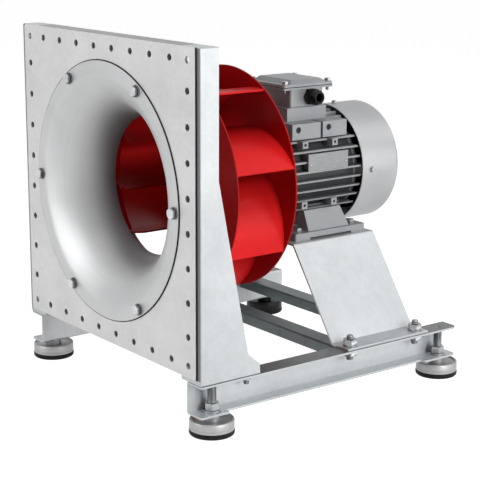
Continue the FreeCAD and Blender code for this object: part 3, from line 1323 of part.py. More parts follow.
# Shaft with its steps, keyway for the hub and seat of the cooling fan.
body = new_body("motor_shaft")
sketch = sketch_on(body, "XY")
outline(sketch, [
    (0, shaft_front), (shaft_radius - 1, shaft_front), (shaft_radius, shaft_front + 1),
    (shaft_radius, shaft_front + shaft_seat),
    (shaft_radius + shaft_swell, shaft_front + shaft_seat),
    (shaft_radius + shaft_swell, bearing_front), (bearing_bore, bearing_front),
    (bearing_bore, bearing_front + bearing_wide), (shoulder, bearing_front + bearing_wide),
    (shoulder, bearing_rear), (bearing_bore, bearing_rear),
    (bearing_bore, bearing_rear + bearing_wide), (fan_seat, bearing_rear + bearing_wide),
    (fan_seat, shaft_rear), (0, shaft_rear),
])
revolve(body, sketch)
sketch = sketch_on(body, "XY", shaft_radius - key_deep)
rectangle(sketch, -key_wide / 2 - fit_gap, shaft_front + key_start - fit_gap,
          key_wide / 2 + fit_gap, shaft_front + key_start + key_long + fit_gap)
pocket(body, sketch, key_deep * 2)
sketch = sketch_on(body, "XZ", shaft_front)
ring(sketch, 0, 0, frame_shank + thread_gap)
pocket(body, sketch, end_bolt_length - hub_front)

# Key in the keyway.
key = doc.addObject("Part::Box", "Key")
key.setExpression("Width", key_long.text)
key.setExpression("Length", key_wide.text)
key.setExpression("Height", (key_deep + key_rise).text)
key.setExpression("Placement.Base.x", (-key_wide / 2).text)
key.setExpression("Placement.Base.y", (shaft_front + key_start).text)
key.setExpression("Placement.Base.z", (shaft_radius - key_deep).text)
keep("shaft_key", key)

# Rotor core on the shaft.
rotor_core = tube_y(rotor_radius, shoulder + fit_gap, core_front, core_rear)
end_rings = [tube_y(end_ring_outer, end_ring_inner, core_front - end_ring_long, core_front),
             tube_y(end_ring_outer, end_ring_inner, core_rear, core_rear + end_ring_long)]
feature("rotor_core", rotor_core.fuse(end_rings).removeSplitter())

# Cooling fan: moulded disc with straight blades.
fan_disc_rear = fan_disc + fan_disc_thick
vane_count = 8
wheel = tube_y(fan_boss, 0, fan_boss_front, fan_boss_rear)
wheel = wheel.fuse(tube_y(fan_radius, 0, fan_disc, fan_disc_rear))
vane = block(fan_boss - 1, fan_radius, fan_disc_rear - 1, vane_rear, -vane_half, vane_half)
vanes = [turned(vane, 360.0 / vane_count * number) for number in range(vane_count)]
wheel = wheel.fuse(vanes).cut(tube_y(fan_seat + fit_gap, 0, fan_boss_front - 1, vane_rear + 1))
feature("cooling_fan", wheel.removeSplitter())

# Impeller hub: a turned boss with a flange behind the back plate, keyed to the
# shaft.
back_rear = impeller_back + impeller_sheet
hub_bore = shaft_radius + fit_gap
hub_face = shaft_front - hub_front
body = new_body("impeller_hub")
sketch = sketch_on(body, "XY")
outline(sketch, [
    (hub_bore, hub_face), (hub_radius - hub_chamfer, hub_face),
    (hub_radius, hub_face + hub_chamfer),
    (hub_radius, back_rear), (hub_flange, back_rear), (hub_flange, back_rear + hub_flange_thick),
    (hub_radius, back_rear + hub_flange_thick + hub_chamfer),
    (hub_radius, shaft_front + hub_rear),
    (hub_bore, shaft_front + hub_rear),
])
revolve(body, sketch)
sketch = sketch_on(body, "XY", 0)
rectangle(sketch, -key_wide / 2 - fit_gap, hub_face - 1, key_wide / 2 + fit_gap,
          shaft_front + hub_rear + 1)
pocket(body, sketch, shaft_radius + key_rise + fit_gap * 4)
sketch = sketch_on(body, "XZ", back_rear)
ring(sketch, hub_bolt_ring, 0, hub_shank + thread_gap)
cut = pocket(body, sketch, hub_flange_thick * 2)
polar(body, cut, "Y_Axis", 6)

# Back plate: flat disc with the hub hole and six bolt holes.
body = new_body("impeller_back_plate")
sketch = sketch_on(body, "XZ", impeller_back)
ring(sketch, 0, 0, impeller_radius)
ring(sketch, 0, 0, hub_radius + thread_gap)
pad(body, sketch, impeller_sheet)
sketch = sketch_on(body, "XZ", impeller_back)
ring(sketch, hub_bolt_ring, 0, hub_shank + thread_gap)
cut = pocket(body, sketch, impeller_sheet)
polar(body, cut, "Y_Axis", 6)

# Hub bolts, heads on the inlet side.
template = solid_of(bolt_piece("HubBolt", hub_across, hub_head, hub_shank, hub_bolt_length))
group("hub_bolts", [turned(stand(template, hub_bolt_ring, impeller_back, 0, "front"), 60 * turn)
                    for turn in range(6)])

# Shroud: a spun ring that starts as a short tube around the nozzle, bends out
# and runs as a flat cone to the rim. The bend ends where the cone is tangent.
eye = val(impeller_eye)
bend_y = val(shroud_bend)
bend = val(shroud_radius)
rim_radius = val(impeller_radius)
rim_y = val(impeller_rim)
sheet_t = val(impeller_sheet)
rise_r = rim_radius - eye
rise_y = rim_y - bend_y
reach = math.hypot(rise_y, rise_r - bend)
sweep = math.asin(bend / reach) + math.atan2(rise_r - bend, rise_y)


def shroud_point(offset, angle):
    """Point of the bend at an angle from its start; offset 0 is the flow side."""
    radius = bend - offset
    return Vector(eye + bend - radius * math.cos(angle), bend_y + radius * math.sin(angle), 0)


cone = Vector(math.sin(sweep), math.cos(sweep), 0)
across = Vector(cone.y, -cone.x, 0)
flow_edges = [
    Part.LineSegment(Vector(eye, val(shroud_mouth), 0), Vector(eye, bend_y, 0)),
    Part.Arc(shroud_point(0, 0), shroud_point(0, sweep / 2), shroud_point(0, sweep)),
    Part.LineSegment(shroud_point(0, sweep), Vector(rim_radius, rim_y, 0)),
]
rim_back = Vector(rim_radius, rim_y, 0)
rim_front = rim_back + across * sheet_t
outer_edges = [
    Part.LineSegment(rim_back, rim_front),
    Part.LineSegment(rim_front, shroud_point(sheet_t, sweep)),
    Part.Arc(shroud_point(sheet_t, sweep), shroud_point(sheet_t, sweep / 2),
             shroud_point(sheet_t, 0)),
    Part.LineSegment(Vector(eye + sheet_t, bend_y, 0),
                     Vector(eye + sheet_t, val(shroud_mouth), 0)),
    Part.LineSegment(Vector(eye + sheet_t, val(shroud_mouth), 0),
                     Vector(eye, val(shroud_mouth), 0)),
]
wire = Part.Wire([curve.toShape() for curve in flow_edges + outer_edges])
shroud = Part.Face(wire).revolve(Vector(0, 0, 0), Y_AXIS, 360)
feature("impeller_shroud", shroud)

# Blades: backward-curved sheets, each an arc through its tip, middle and inner
# edge, trimmed to the flow side of the shroud and welded to the back plate.
outside = rim_radius + 20
ahead = val(shroud_mouth) - 20
blade_slope_y = val(blade_front)
blade_slope_r = val(blade_slope)
blade_start = bend_y + 4
front_cut = [
    Part.LineSegment(Vector(rim_radius, rim_y, 0), Vector(outside, rim_y, 0)),
    Part.LineSegment(Vector(outside, rim_y, 0), Vector(outside, ahead, 0)),
    Part.LineSegment(Vector(outside, ahead, 0), Vector(0, ahead, 0)),
    Part.LineSegment(Vector(0, ahead, 0), Vector(0, blade_slope_y, 0)),
    Part.LineSegment(Vector(0, blade_slope_y, 0), Vector(blade_slope_r, blade_slope_y, 0)),
    Part.LineSegment(Vector(blade_slope_r, blade_slope_y, 0), Vector(eye, blade_start, 0)),
    Part.LineSegment(Vector(eye, blade_start, 0), Vector(eye, bend_y, 0)),
]
wire = Part.Wire([curve.toShape() for curve in front_cut + flow_edges[1:]])
shroud_side = Part.Face(wire).revolve(Vector(0, 0, 0), Y_AXIS, 360)
shroud_side.translate(Y_AXIS * val(fit_gap))


def blade_point(radius, angle):
    return Vector(val(radius) * math.cos(math.radians(val(angle))), 0,
                  val(radius) * math.sin(math.radians(val(angle))))


tip = blade_point(impeller_radius, blade_tip_angle)
middle = blade_point(blade_mid_radius, blade_mid_angle)
root = blade_point(blade_root_radius, blade_root_angle)
arc = Part.Arc(tip, middle, root).toShape().Curve
centre = arc.Center
blade_radius = arc.Radius


def on_arc(point, radius):
    return centre + (point - centre).normalize() * radius


inner = blade_radius - sheet_t
face_edges = [
    Part.Arc(on_arc(tip, blade_radius), on_arc(middle, blade_radius), on_arc(root, blade_radius)),
    Part.LineSegment(on_arc(root, blade_radius), on_arc(root, inner)),
    Part.Arc(on_arc(root, inner), on_arc(middle, inner), on_arc(tip, inner)),
    Part.LineSegment(on_arc(tip, inner), on_arc(tip, blade_radius)),
]
strip = Part.Face(Part.Wire([curve.toShape() for curve in face_edges]))
strip.translate(Y_AXIS * (ahead + 1))
blade = strip.extrude(Y_AXIS * (val(impeller_back) - ahead - 1)).cut(shroud_side)
blade = blade.common(tube_y(impeller_radius, 0, ahead, impeller_back))
if len(blade.Solids) != 1:
    raise RuntimeError("a blade is not one solid")
blade = blade.Solids[0]
blade_total = int(val(blade_count))
blades = [turned(blade, 360.0 / blade_total * number) for number in range(blade_total)]
group("impeller_blades", blades)

# Shaft end bolt with its washer against the hub.
feature("shaft_end_washer", tube_y(end_washer, small_hole / 2, hub_face - end_thick, hub_face))
template = solid_of(bolt_piece("EndBolt", frame_across, frame_head, frame_shank, end_bolt_length))
group("shaft_end_bolt", [stand(template, 0, hub_face - end_thick, 0, "front")])

doc.recompute()
for item in doc.Objects:
    if "Invalid" in item.State or "Error" in item.State:
        raise RuntimeError("failed: %s %s" % (item.Name, item.State))
triangles = 0
for node, item in exports:
    shape = item.Shape
    if shape.isNull() or not shape.isValid() or not shape.Solids:
        raise RuntimeError("bad shape: " + node)
    shape.exportStep("parts/%s.step" % node)
    count = len(shape.tessellate(0.1)[1])
    triangles += count
    box = shape.BoundBox
    print("%-22s solids %2d  volume %10.1f  X %7.1f %7.1f  Y %7.1f %7.1f  Z %7.1f %7.1f  %d"
          % (node, len(shape.Solids), shape.Volume, box.XMin, box.XMax, box.YMin, box.YMax,
             box.ZMin, box.ZMax, count))
print("nodes", len(exports), "triangles", triangles)
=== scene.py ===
import json
import math
import bpy
from mathutils import Euler, Matrix, Vector

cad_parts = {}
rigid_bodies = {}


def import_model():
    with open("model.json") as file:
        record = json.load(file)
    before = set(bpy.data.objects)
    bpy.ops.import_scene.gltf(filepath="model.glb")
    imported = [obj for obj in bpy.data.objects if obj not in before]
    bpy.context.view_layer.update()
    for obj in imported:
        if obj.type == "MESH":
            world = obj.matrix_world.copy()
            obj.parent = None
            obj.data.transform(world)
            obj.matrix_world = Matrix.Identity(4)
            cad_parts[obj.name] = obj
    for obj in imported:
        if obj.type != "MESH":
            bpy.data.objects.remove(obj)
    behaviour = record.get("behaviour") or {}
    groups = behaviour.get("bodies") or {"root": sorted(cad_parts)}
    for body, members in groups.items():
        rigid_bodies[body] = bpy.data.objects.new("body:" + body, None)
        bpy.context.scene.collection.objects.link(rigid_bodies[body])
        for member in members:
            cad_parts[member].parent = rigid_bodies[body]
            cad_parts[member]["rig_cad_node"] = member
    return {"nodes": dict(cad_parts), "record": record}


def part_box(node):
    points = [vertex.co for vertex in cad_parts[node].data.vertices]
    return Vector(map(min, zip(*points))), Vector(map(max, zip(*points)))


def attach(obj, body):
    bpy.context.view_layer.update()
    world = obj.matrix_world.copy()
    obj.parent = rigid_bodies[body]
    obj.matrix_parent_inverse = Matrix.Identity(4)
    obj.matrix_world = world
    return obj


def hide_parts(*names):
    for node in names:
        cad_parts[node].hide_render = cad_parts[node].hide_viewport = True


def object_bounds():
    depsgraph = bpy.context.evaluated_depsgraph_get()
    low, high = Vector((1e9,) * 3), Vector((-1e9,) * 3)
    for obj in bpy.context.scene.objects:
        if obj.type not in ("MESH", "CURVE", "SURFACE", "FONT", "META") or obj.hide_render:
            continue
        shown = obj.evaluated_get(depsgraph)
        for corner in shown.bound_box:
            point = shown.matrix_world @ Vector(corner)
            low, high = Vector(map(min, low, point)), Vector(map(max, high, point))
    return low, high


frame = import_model()
cad_low, cad_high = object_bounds()
solids = frame["nodes"]
record = frame["record"]
millimetre = 0.001

# Camera: it stands to the right of the inlet and a little above the motor, with
# a long lens. Turn, dip and roll are in degrees, the place is in metres.
camera_place = (1.6004, -0.9833, 0.3781)
camera_turn = 52.87
camera_dip = 13.36
camera_roll = 0.24
camera_lens = 106.34
camera_data = bpy.data.cameras.new("camera")
camera_data.lens = camera_lens
camera = bpy.data.objects.new("camera", camera_data)
scene = bpy.context.scene
scene.collection.objects.link(camera)
aim = Euler((math.radians(90 - camera_dip), 0, math.radians(camera_turn))).to_matrix()
aim = aim @ Matrix.Rotation(math.radians(camera_roll), 3, "Z")
camera.matrix_world = Matrix.Translation(camera_place) @ aim.to_4x4()
scene.camera = camera
scene.view_settings.view_transform = "Standard"


# Studio: a sheet of white paper on the floor, a white surround that metal and
# gloss also show, and five large soft lamps.
def empty_finish(name):
    """A material with its shader, ready for nodes."""
    material = bpy.data.materials.new(name)
    material.use_nodes = True
    tree = material.node_tree
    return material, tree, tree.nodes["Principled BSDF"]


def add_node(tree, kind, inputs=None, **settings):
    """The outputs of a new shader node. Each of its inputs is linked to the output
    that is given for it, or set to the value."""
    node = tree.nodes.new(kind)
    for key, amount in settings.items():
        setattr(node, key, amount)
    for key, given in (inputs or {}).items():
        if isinstance(given, bpy.types.NodeSocket):
            tree.links.new(given, node.inputs[key])
        else:
            node.inputs[key].default_value = given
    return node.outputs


def seen_rays(tree):
    """One for what the camera, gloss and clear materials see, else nothing."""
    ray = add_node(tree, "ShaderNodeLightPath")
    total = ray["Is Camera Ray"]
    for kind in ("Is Glossy Ray", "Is Transmission Ray"):
        total = add_node(tree, "ShaderNodeMath", {0: total, 1: ray[kind]}, operation="ADD",
                         use_clamp=True)["Value"]
    return total


def deselect():
    """Leave nothing selected, so that the next operator acts on its own piece."""
    bpy.ops.object.select_all(action="DESELECT")


floor_radius = 9
floor_gap = 0.2 * millimetre
paper_grey = 0.6
paper_glow = 0.91
deselect()
bpy.ops.mesh.primitive_circle_add(vertices=96, radius=floor_radius, fill_type="NGON",
                                  location=(0, 0, cad_low.z - floor_gap))
studio_floor = bpy.context.active_object
studio_floor.name = "studio_floor"
paper, tree, shader = empty_finish("floor_paper")
shader.inputs["Base Color"].default_value = (paper_grey, paper_grey, paper_grey, 1)
shader.inputs["Roughness"].default_value = 0.9
shader.inputs["Specular IOR Level"].default_value = 0.1
shader.inputs["Emission Color"].default_value = (1, 1, 1, 1)
glow = add_node(tree, "ShaderNodeMath", {0: seen_rays(tree), 1: paper_glow}, operation="MULTIPLY")
tree.links.new(glow["Value"], shader.inputs["Emission Strength"])
studio_floor.data.materials.append(paper)

surround_light = 0.07
surround_seen = 1.0
surround = bpy.data.worlds.new("surround")
scene.world = surround
surround.use_nodes = True
tree = surround.node_tree
strength = add_node(tree, "ShaderNodeMapRange", {"Value": seen_rays(tree), "To Min": surround_light,
                                                 "To Max": surround_seen})
tree.links.new(strength["Result"], tree.nodes["Background"].inputs["Strength"])
tree.nodes["Background"].inputs["Color"].default_value = (1, 1, 1, 1)

lamp_target = Vector((0, 0.2, -0.05))


def soft_lamp(name, place, wide, high, power):
    """A rectangular lamp that faces the middle of the fan."""
    data = bpy.data.lights.new(name, "AREA")
    data.shape = "RECTANGLE"
    data.size = wide
    data.size_y = high
    data.energy = power
    lamp = bpy.data.objects.new(name, data)
    scene.collection.objects.link(lamp)
    toward = (lamp_target - Vector(place)).to_track_quat("-Z", "Y").to_matrix()
    lamp.matrix_world = Matrix.Translation(place) @ toward.to_4x4()


soft_lamp("lamp_above", (0.2, -0.2, 2.0), wide=1.4, high=1.4, power=4)
soft_lamp("lamp_inlet", (-0.55, -2.2, 0.8), wide=1.2, high=1.6, power=25)
soft_lamp("lamp_right", (2.3, 0.35, 0.55), wide=0.8, high=1.2, power=33)
soft_lamp("lamp_behind", (2.0, 1.7, 0.2), wide=1.0, high=1.2, power=8)
soft_lamp("lamp_rear_high", (1.0, 1.8, 1.65), wide=1.3, high=1.3, power=6)


# Inlet plate: one square sheet of hot-dip galvanised steel with a round window
# and a row of punched holes along each edge. Its cut edges are lightly broken.
def node_colour(tree, value, dark, light, low, high):
    """A colour that goes from dark, at the low value, to light, at the high one."""
    ramp = tree.nodes.new("ShaderNodeValToRGB")
    ends = ramp.color_ramp.elements
    ends[0].position = low
    ends[0].color = (*dark, 1)
    ends[1].position = high
    ends[1].color = (*light, 1)
    tree.links.new(value, ramp.inputs["Fac"])
    return ramp.outputs["Color"]


def node_noise(tree, vector, size_mm, detail):
    """Noise whose patches are about size_mm across."""
    noise = add_node(tree, "ShaderNodeTexNoise", {"Vector": vector, "Detail": detail,
                                                  "Scale": 1 / (size_mm * millimetre)})
    return noise["Fac"]


def node_mix(tree, first, second, share):
    """A blend of two values: share of the second."""
    blend = add_node(tree, "ShaderNodeMix", {"Factor": share, "A": first, "B": second},
                     data_type="FLOAT")
    return blend["Result"]


def node_shade_and_coat(tree, undarkened, shade_and_coat, colour):
    """The colour where undarkened is one and the dark colour where it is nothing, for painted shade
    and for the black coating of one foot cup.
    """
    blend = add_node(tree, "ShaderNodeMix", {"Factor": undarkened, "A": (*shade_and_coat, 1), "B": colour},
                     data_type="RGBA")
    return blend["Result"]


def begin_finish(name, metal, specular=0.5):
    """An empty finish, its share of metal and its gloss, and the place of a point."""
    material, tree, shader = empty_finish(name)
    shader.inputs["Metallic"].default_value = metal
    shader.inputs["Specular IOR Level"].default_value = specular
    return material, tree, shader, add_node(tree, "ShaderNodeTexCoord")["Object"]


def end_finish(tree, shader, colour, gloss, rough_low, rough_high, relief, depth_mm,
               strength):
    """Link the colour, a noise that goes from the low to the high roughness, and a
    noise that raises the surface by up to depth_mm."""
    tree.links.new(colour, shader.inputs["Base Color"])
    noise_low = 0.3
    noise_high = 0.7
    rough = add_node(tree, "ShaderNodeMapRange", {"Value": gloss, "From Min": noise_low,
                                                  "From Max": noise_high, "To Min": rough_low,
                                                  "To Max": rough_high})
    tree.links.new(rough["Result"], shader.inputs["Roughness"])
    bump = add_node(tree, "ShaderNodeBump", {"Height": relief, "Strength": strength,
                                             "Distance": depth_mm * millimetre})
    tree.links.new(bump["Normal"], shader.inputs["Normal"])


def galvanised_sheet(name, dark, light, flower_mm, flower_share, metal, rough_low, rough_high,
                     undarkened=None, shade_and_coat=None):
    """Zinc flowers over soft clouds, each flower with its own grey and gloss.
    Where the undarkened part that is given ends, the zinc is darkened as painted shade."""
    material, tree, shader, place = begin_finish(name, metal, specular=0.2)
    flowers = add_node(tree, "ShaderNodeTexVoronoi", {"Vector": place, "Randomness": 1.0,
                                                      "Scale": 1 / (flower_mm * millimetre)})
    flower = add_node(tree, "ShaderNodeSeparateColor", {"Color": flowers["Color"]})
    clouds = node_noise(tree, place, size_mm=90, detail=5.0)
    streaks = node_noise(tree, place, size_mm=7, detail=3.0)
    surface = node_mix(tree, clouds, streaks, share=0.3)
    surface = node_mix(tree, surface, flower["Red"], flower_share)
    colour = node_colour(tree, surface, dark, light, low=0.32, high=0.68)
    # Painted shade where the given part ends.
    if undarkened:
        colour = node_shade_and_coat(tree, undarkened(tree, place), shade_and_coat, colour)
    gloss = node_mix(tree, clouds, flower["Green"], flower_share * 2)
    end_finish(tree, shader, colour, gloss, rough_low, rough_high, streaks,
               depth_mm=0.06, strength=0.35)
    return material


def hold(piece):
    """Select one piece alone."""
    deselect()
    piece.select_set(True)
    bpy.context.view_layer.objects.active = piece


def shape_with(piece, kind, **settings):
    """Add a modifier and apply it."""
    hold(piece)
    bpy.ops.object.modifier_add(type=kind)
    modifier = piece.modifiers[-1]
    for key, amount in settings.items():
        setattr(modifier, key, amount)
    bpy.ops.object.modifier_apply(modifier=modifier.name)


def merged_copy(node, name):
    """A copy of a solid whose loose triangles are merged into flat faces."""
    hold(solids[node])
    bpy.ops.object.duplicate()
    piece = bpy.context.active_object
    piece.name = name
    del piece["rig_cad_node"]
    bpy.ops.object.mode_set(mode="EDIT")
    bpy.ops.mesh.select_all(action="SELECT")
    bpy.ops.mesh.remove_doubles(threshold=0.002 * millimetre)
    bpy.ops.mesh.dissolve_limited(angle_limit=math.radians(0.5))
    bpy.ops.object.mode_set(mode="OBJECT")
    return piece


def smooth(piece, angle):
    """Round shading, but crisp at edges that turn by more than the angle in degrees."""
    hold(piece)
    bpy.ops.object.shade_smooth_by_angle(angle=math.radians(angle))


def even_shading(piece, angle):
    """Smooth curves with flat faces kept flat."""
    smooth(piece, angle)
    shape_with(piece, "WEIGHTED_NORMAL", mode="FACE_AREA", weight=100, keep_sharp=True)


def mount_piece(piece, body, slot, material, *nodes):
    """Give the piece its finish and body, and let it stand for its solids."""
    piece.data.materials.clear()
    piece.data.materials.append(material)
    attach(piece, body)
    if nodes:
        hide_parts(*nodes)


def dress(node, name, rounding, slot, material, body="frame", segments=2):
    """Let a copy of a solid stand for it, its sharp edges rounded by so many
    millimetres."""
    piece = merged_copy(node, name)
    shape_with(piece, "BEVEL", width=rounding * millimetre, segments=segments,
               limit_method="ANGLE", angle_limit=math.radians(35), use_clamp_overlap=True)
    even_shading(piece, angle=40)
    mount_piece(piece, body, slot, material, node)


sheet_rounding = 0.35
galvanised = galvanised_sheet("galvanised_plate", (0.69, 0.69, 0.69), (0.82, 0.82, 0.82),
                              flower_mm=12, flower_share=0.08, metal=0.35, rough_low=0.42,
                              rough_high=0.54)
dress("inlet_plate", "plate_sheet", sheet_rounding, "galvanised", galvanised)


# Edge inserts: a zinc plated threaded sleeve in each punched hole of the folds,
# clinched behind the sheet, its end closed but for a vent. Corner holes have none.
def fine_metal(name, dark, light, rough_low, rough_high, grain_mm=1.2, depth_mm=0.02, metal=1.0,
               specular=0.5, undarkened=None, shade_and_coat=(0.05, 0.05, 0.05)):
    """Plated, turned or moulded surface with a fine grain, darkened as painted shade
    where the undarkened part that is given ends."""
    material, tree, shader, place = begin_finish(name, metal, specular)
    grains_across = 14
    grain = node_noise(tree, place, grain_mm, detail=4.0)
    clouds = node_noise(tree, place, grain_mm * grains_across, detail=3.0)
    surface = node_mix(tree, grain, clouds, share=0.5)
    colour = node_colour(tree, surface, dark, light, low=0.35, high=0.65)
    if undarkened:
        colour = node_shade_and_coat(tree, undarkened(tree, place), shade_and_coat, colour)
    end_finish(tree, shader, colour, clouds, rough_low, rough_high, grain, depth_mm, strength=0.6)
    return material


def settle():
    """Put the place, turn and size of what is selected into its mesh."""
    bpy.ops.object.transform_apply(location=True, rotation=True, scale=True)


def turned_form(name, rings, sides, closed=False):
    """A turned body about Z from (height, radius) rings in millimetres. Its ends
    are capped, or joined to each other when the outline is closed."""
    height, radius = rings[0]
    deselect()
    bpy.ops.mesh.primitive_circle_add(vertices=sides, radius=radius * millimetre,
                                      location=(0, 0, height * millimetre),
                                      fill_type="NOTHING" if closed else "NGON")
    piece = bpy.context.active_object
    piece.name = name
    settle()
    bpy.ops.object.mode_set(mode="EDIT")
    bpy.ops.mesh.select_all(action="SELECT")
    for next_height, next_radius in rings[1:]:
        rise = {"value": (0, 0, (next_height - height) * millimetre)}
        if closed:
            bpy.ops.mesh.extrude_edges_move(TRANSFORM_OT_translate=rise)
        else:
            bpy.ops.mesh.extrude_region_move(TRANSFORM_OT_translate=rise)
        grow = next_radius / radius
        bpy.ops.transform.resize(value=(grow, grow, 1),
                                 center_override=(0, 0, next_height * millimetre))
        height, radius = next_height, next_radius
    if closed:
        bpy.ops.mesh.select_mode(type="EDGE")
        bpy.ops.mesh.select_all(action="DESELECT")
        bpy.ops.mesh.select_non_manifold()
        bpy.ops.mesh.bridge_edge_loops()
    bpy.ops.mesh.select_all(action="SELECT")
    bpy.ops.mesh.normals_make_consistent(inside=False)
    bpy.ops.object.mode_set(mode="OBJECT")
    smooth(piece, angle=32)
    return piece


def lay(piece, place, turn):
    """Put a piece made about Z in its place."""
    hold(piece)
    piece.matrix_world = Matrix.Translation(place) @ turn.to_4x4()
    settle()
    return piece


def one_piece(name, parts):
    """Join parts into the first of them."""
    deselect()
    for part in parts:
        part.select_set(True)
    bpy.context.view_layer.objects.active = parts[0]
    bpy.ops.object.join()
    parts[0].name = name
    return parts[0]


def spread(form, name, places):
    """Copies of a form at (place, turn) pairs, made one piece. The form goes."""
    copies = []
    for place, turn in places:
        hold(form)
        bpy.ops.object.duplicate()
        copies.append(lay(bpy.context.active_object, place, turn))
    piece = one_piece(name, copies)
    bpy.data.objects.remove(form)
    return piece


def thread_rings(low, high, radius, pitch, depth):
    """Rings of a thread between two heights, crests at the radius."""
    turns = int((high - low) / pitch)
    step = (high - low) / turns
    rings = []
    for turn in range(turns):
        rings.append((low + step * turn, radius - depth))
        rings.append((low + step * (turn + 0.5), radius))
    rings.append((high, radius - depth))
    return rings


upward = Matrix.Identity(3)
downward = Matrix.Rotation(math.pi, 3, "X")
toward_inlet = Matrix.Rotation(math.pi / 2, 3, "X")
toward_motor = Matrix.Rotation(-math.pi / 2, 3, "X")
toward_right = Matrix.Rotation(math.pi / 2, 3, "Y")
toward_left = Matrix.Rotation(-math.pi / 2, 3, "Y")

m8_pitch = 1.25
insert_bore = 3.9
insert_neck = 5.1
insert_clinch = 6.3
insert_body = 5.3
insert_vent = 1.2
insert_end = 14
insert_floor = insert_end - 1.2
thread_start = 0.8
thread_end = insert_end - 2
insert_rings = [(0, insert_bore), (0, insert_neck), (2.4, insert_neck), (2.8, insert_clinch),
                (4.6, insert_clinch), (5.4, insert_body), (insert_end, insert_body),
                (insert_end, insert_vent), (insert_floor, insert_vent),
                (insert_floor, insert_bore)]
thread = thread_rings(thread_start, thread_end, insert_bore, m8_pitch, depth=0.5)
insert_rings += list(reversed(thread))
insert_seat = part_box("inlet_plate")[1].y + 0.1 * millimetre
places = []
for mount in record["mounts"]:
    if mount["name"].startswith(("plate_row", "plate_column")):
        half_x = mount["dims"]["spacing_x_mm"] / 2 * millimetre
        half_z = mount["dims"]["spacing_y_mm"] / 2 * millimetre
        for side_x in (-1, 1):
            for side_z in (-1, 1):
                places.append(((half_x * side_x, insert_seat, half_z * side_z), toward_motor))
# The inserts are nearly black, painted shade of the deep holes they sit in.
insert_zinc_shaded = fine_metal("insert_zinc_shaded", (0.05, 0.05, 0.052), (0.09, 0.09, 0.093), rough_low=0.3,
                         rough_high=0.42)
insert_form = turned_form("insert_form", insert_rings, sides=20, closed=True)
inserts = spread(insert_form, "edge_inserts", places)
mount_piece(inserts, "frame", "zinc", insert_zinc_shaded)


# Stiffeners and side brackets: each folded from 2.5 mm galvanised sheet behind the
# plate, the bracket webs widening down to the rails. The zinc is slightly blue. The
# strip of each bracket fold beside the plate and the top face of the top stiffener
# carry painted shade.
def node_axis(tree, place, axis):
    """One coordinate of a place."""
    return add_node(tree, "ShaderNodeSeparateXYZ", {"Vector": place})[axis]


def node_slope(tree, value, nothing_at, one_at):
    """Nothing up to one value, one from the other, and a slope between them."""
    slope = add_node(tree, "ShaderNodeMapRange", {"Value": value, "From Min": nothing_at,
                                                  "From Max": one_at})
    return slope["Result"]


def node_larger(tree, first, second):
    """The larger of two values."""
    return add_node(tree, "ShaderNodeMath", {0: first, 1: second}, operation="MAXIMUM")["Value"]


plate_low, plate_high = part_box("inlet_plate")


def behind_seam(tree, place):
    """One away from the strip of the fold that shows beside the plate, where that strip gets painted
    shade.
    """
    depth = node_axis(tree, place, "Y")
    height = node_axis(tree, place, "Z")
    behind = node_slope(tree, depth, plate_high.y + 0.1 * millimetre,
                        plate_high.y + 0.9 * millimetre)
    below = node_slope(tree, height, plate_low.z, plate_low.z - 0.01 * millimetre)
    return node_larger(tree, behind, below)


def under_top(top):
    """The part of a piece that lies under its top face, at a height in metres. The top face itself
    gets painted shade.
    """
    def share(tree, place):
        height = node_axis(tree, place, "Z")
        return node_slope(tree, height, top - 0.1 * millimetre, top - 0.5 * millimetre)
    return share


def frame_sheet(name, undarkened=None, shade_and_coat=None):
    """The bluish zinc of the frame, with the painted shade of each of its pieces."""
    return galvanised_sheet(name, (0.51, 0.535, 0.545), (0.62, 0.64, 0.65), flower_mm=15,
                            flower_share=0.09, metal=0.4, rough_low=0.30, rough_high=0.42,
                            undarkened=undarkened, shade_and_coat=shade_and_coat)


galvanised_frame = frame_sheet("galvanised_frame")
# The bracket strip beside the plate is painted darker, as shade.
galvanised_bracket_shaded_seam = frame_sheet("galvanised_bracket_shaded_seam", behind_seam, (0.20, 0.21, 0.21))
# The top face of the top stiffener is painted darker, as shade.
galvanised_top_shaded = frame_sheet("galvanised_top_shaded", under_top(plate_high.z), (0.24, 0.25, 0.25))
for node, finish in (("stiffener_top", galvanised_top_shaded), ("stiffener_bottom", galvanised_frame),
                     ("bracket_left", galvanised_bracket_shaded_seam), ("bracket_right", galvanised_bracket_shaded_seam)):
    dress(node, node + "_fold", sheet_rounding, "galvanised", finish)


# Inlet nozzle: spun from sheet, a flange on the plate and a bell that narrows on
# one wide arc into the throat. Spinning leaves faint rings about the axis.
def axis_radius(tree, place):
    """The distance from the fan axis."""
    flat = add_node(tree, "ShaderNodeVectorMath", {0: place, 1: (1, 0, 1)}, operation="MULTIPLY")
    return add_node(tree, "ShaderNodeVectorMath", {0: flat["Vector"]}, operation="LENGTH")["Value"]


def spun_sheet(name, dark, light, throat_shade, shade_from, shade_to):
    """Satin sheet with faint rings about the fan axis. Between two depths in
    millimetres it darkens toward the throat as painted shade."""
    material, tree, shader, place = begin_finish(name, metal=0.55)
    depth = node_axis(tree, place, "Y")
    outline = add_node(tree, "ShaderNodeCombineXYZ", {"X": axis_radius(tree, place), "Y": depth})
    rings = node_noise(tree, outline["Vector"], size_mm=1.6, detail=3.0)
    clouds = node_noise(tree, place, size_mm=60, detail=4.0)
    surface = node_mix(tree, rings, clouds, share=0.6)
    colour = node_colour(tree, surface, dark, light, low=0.3, high=0.7)
    undarkened = node_slope(tree, depth, shade_to * millimetre, shade_from * millimetre)
    colour = node_shade_and_coat(tree, undarkened, throat_shade, colour)
    end_finish(tree, shader, colour, surface, 0.40, 0.50, rings, depth_mm=0.05, strength=0.3)
    return material


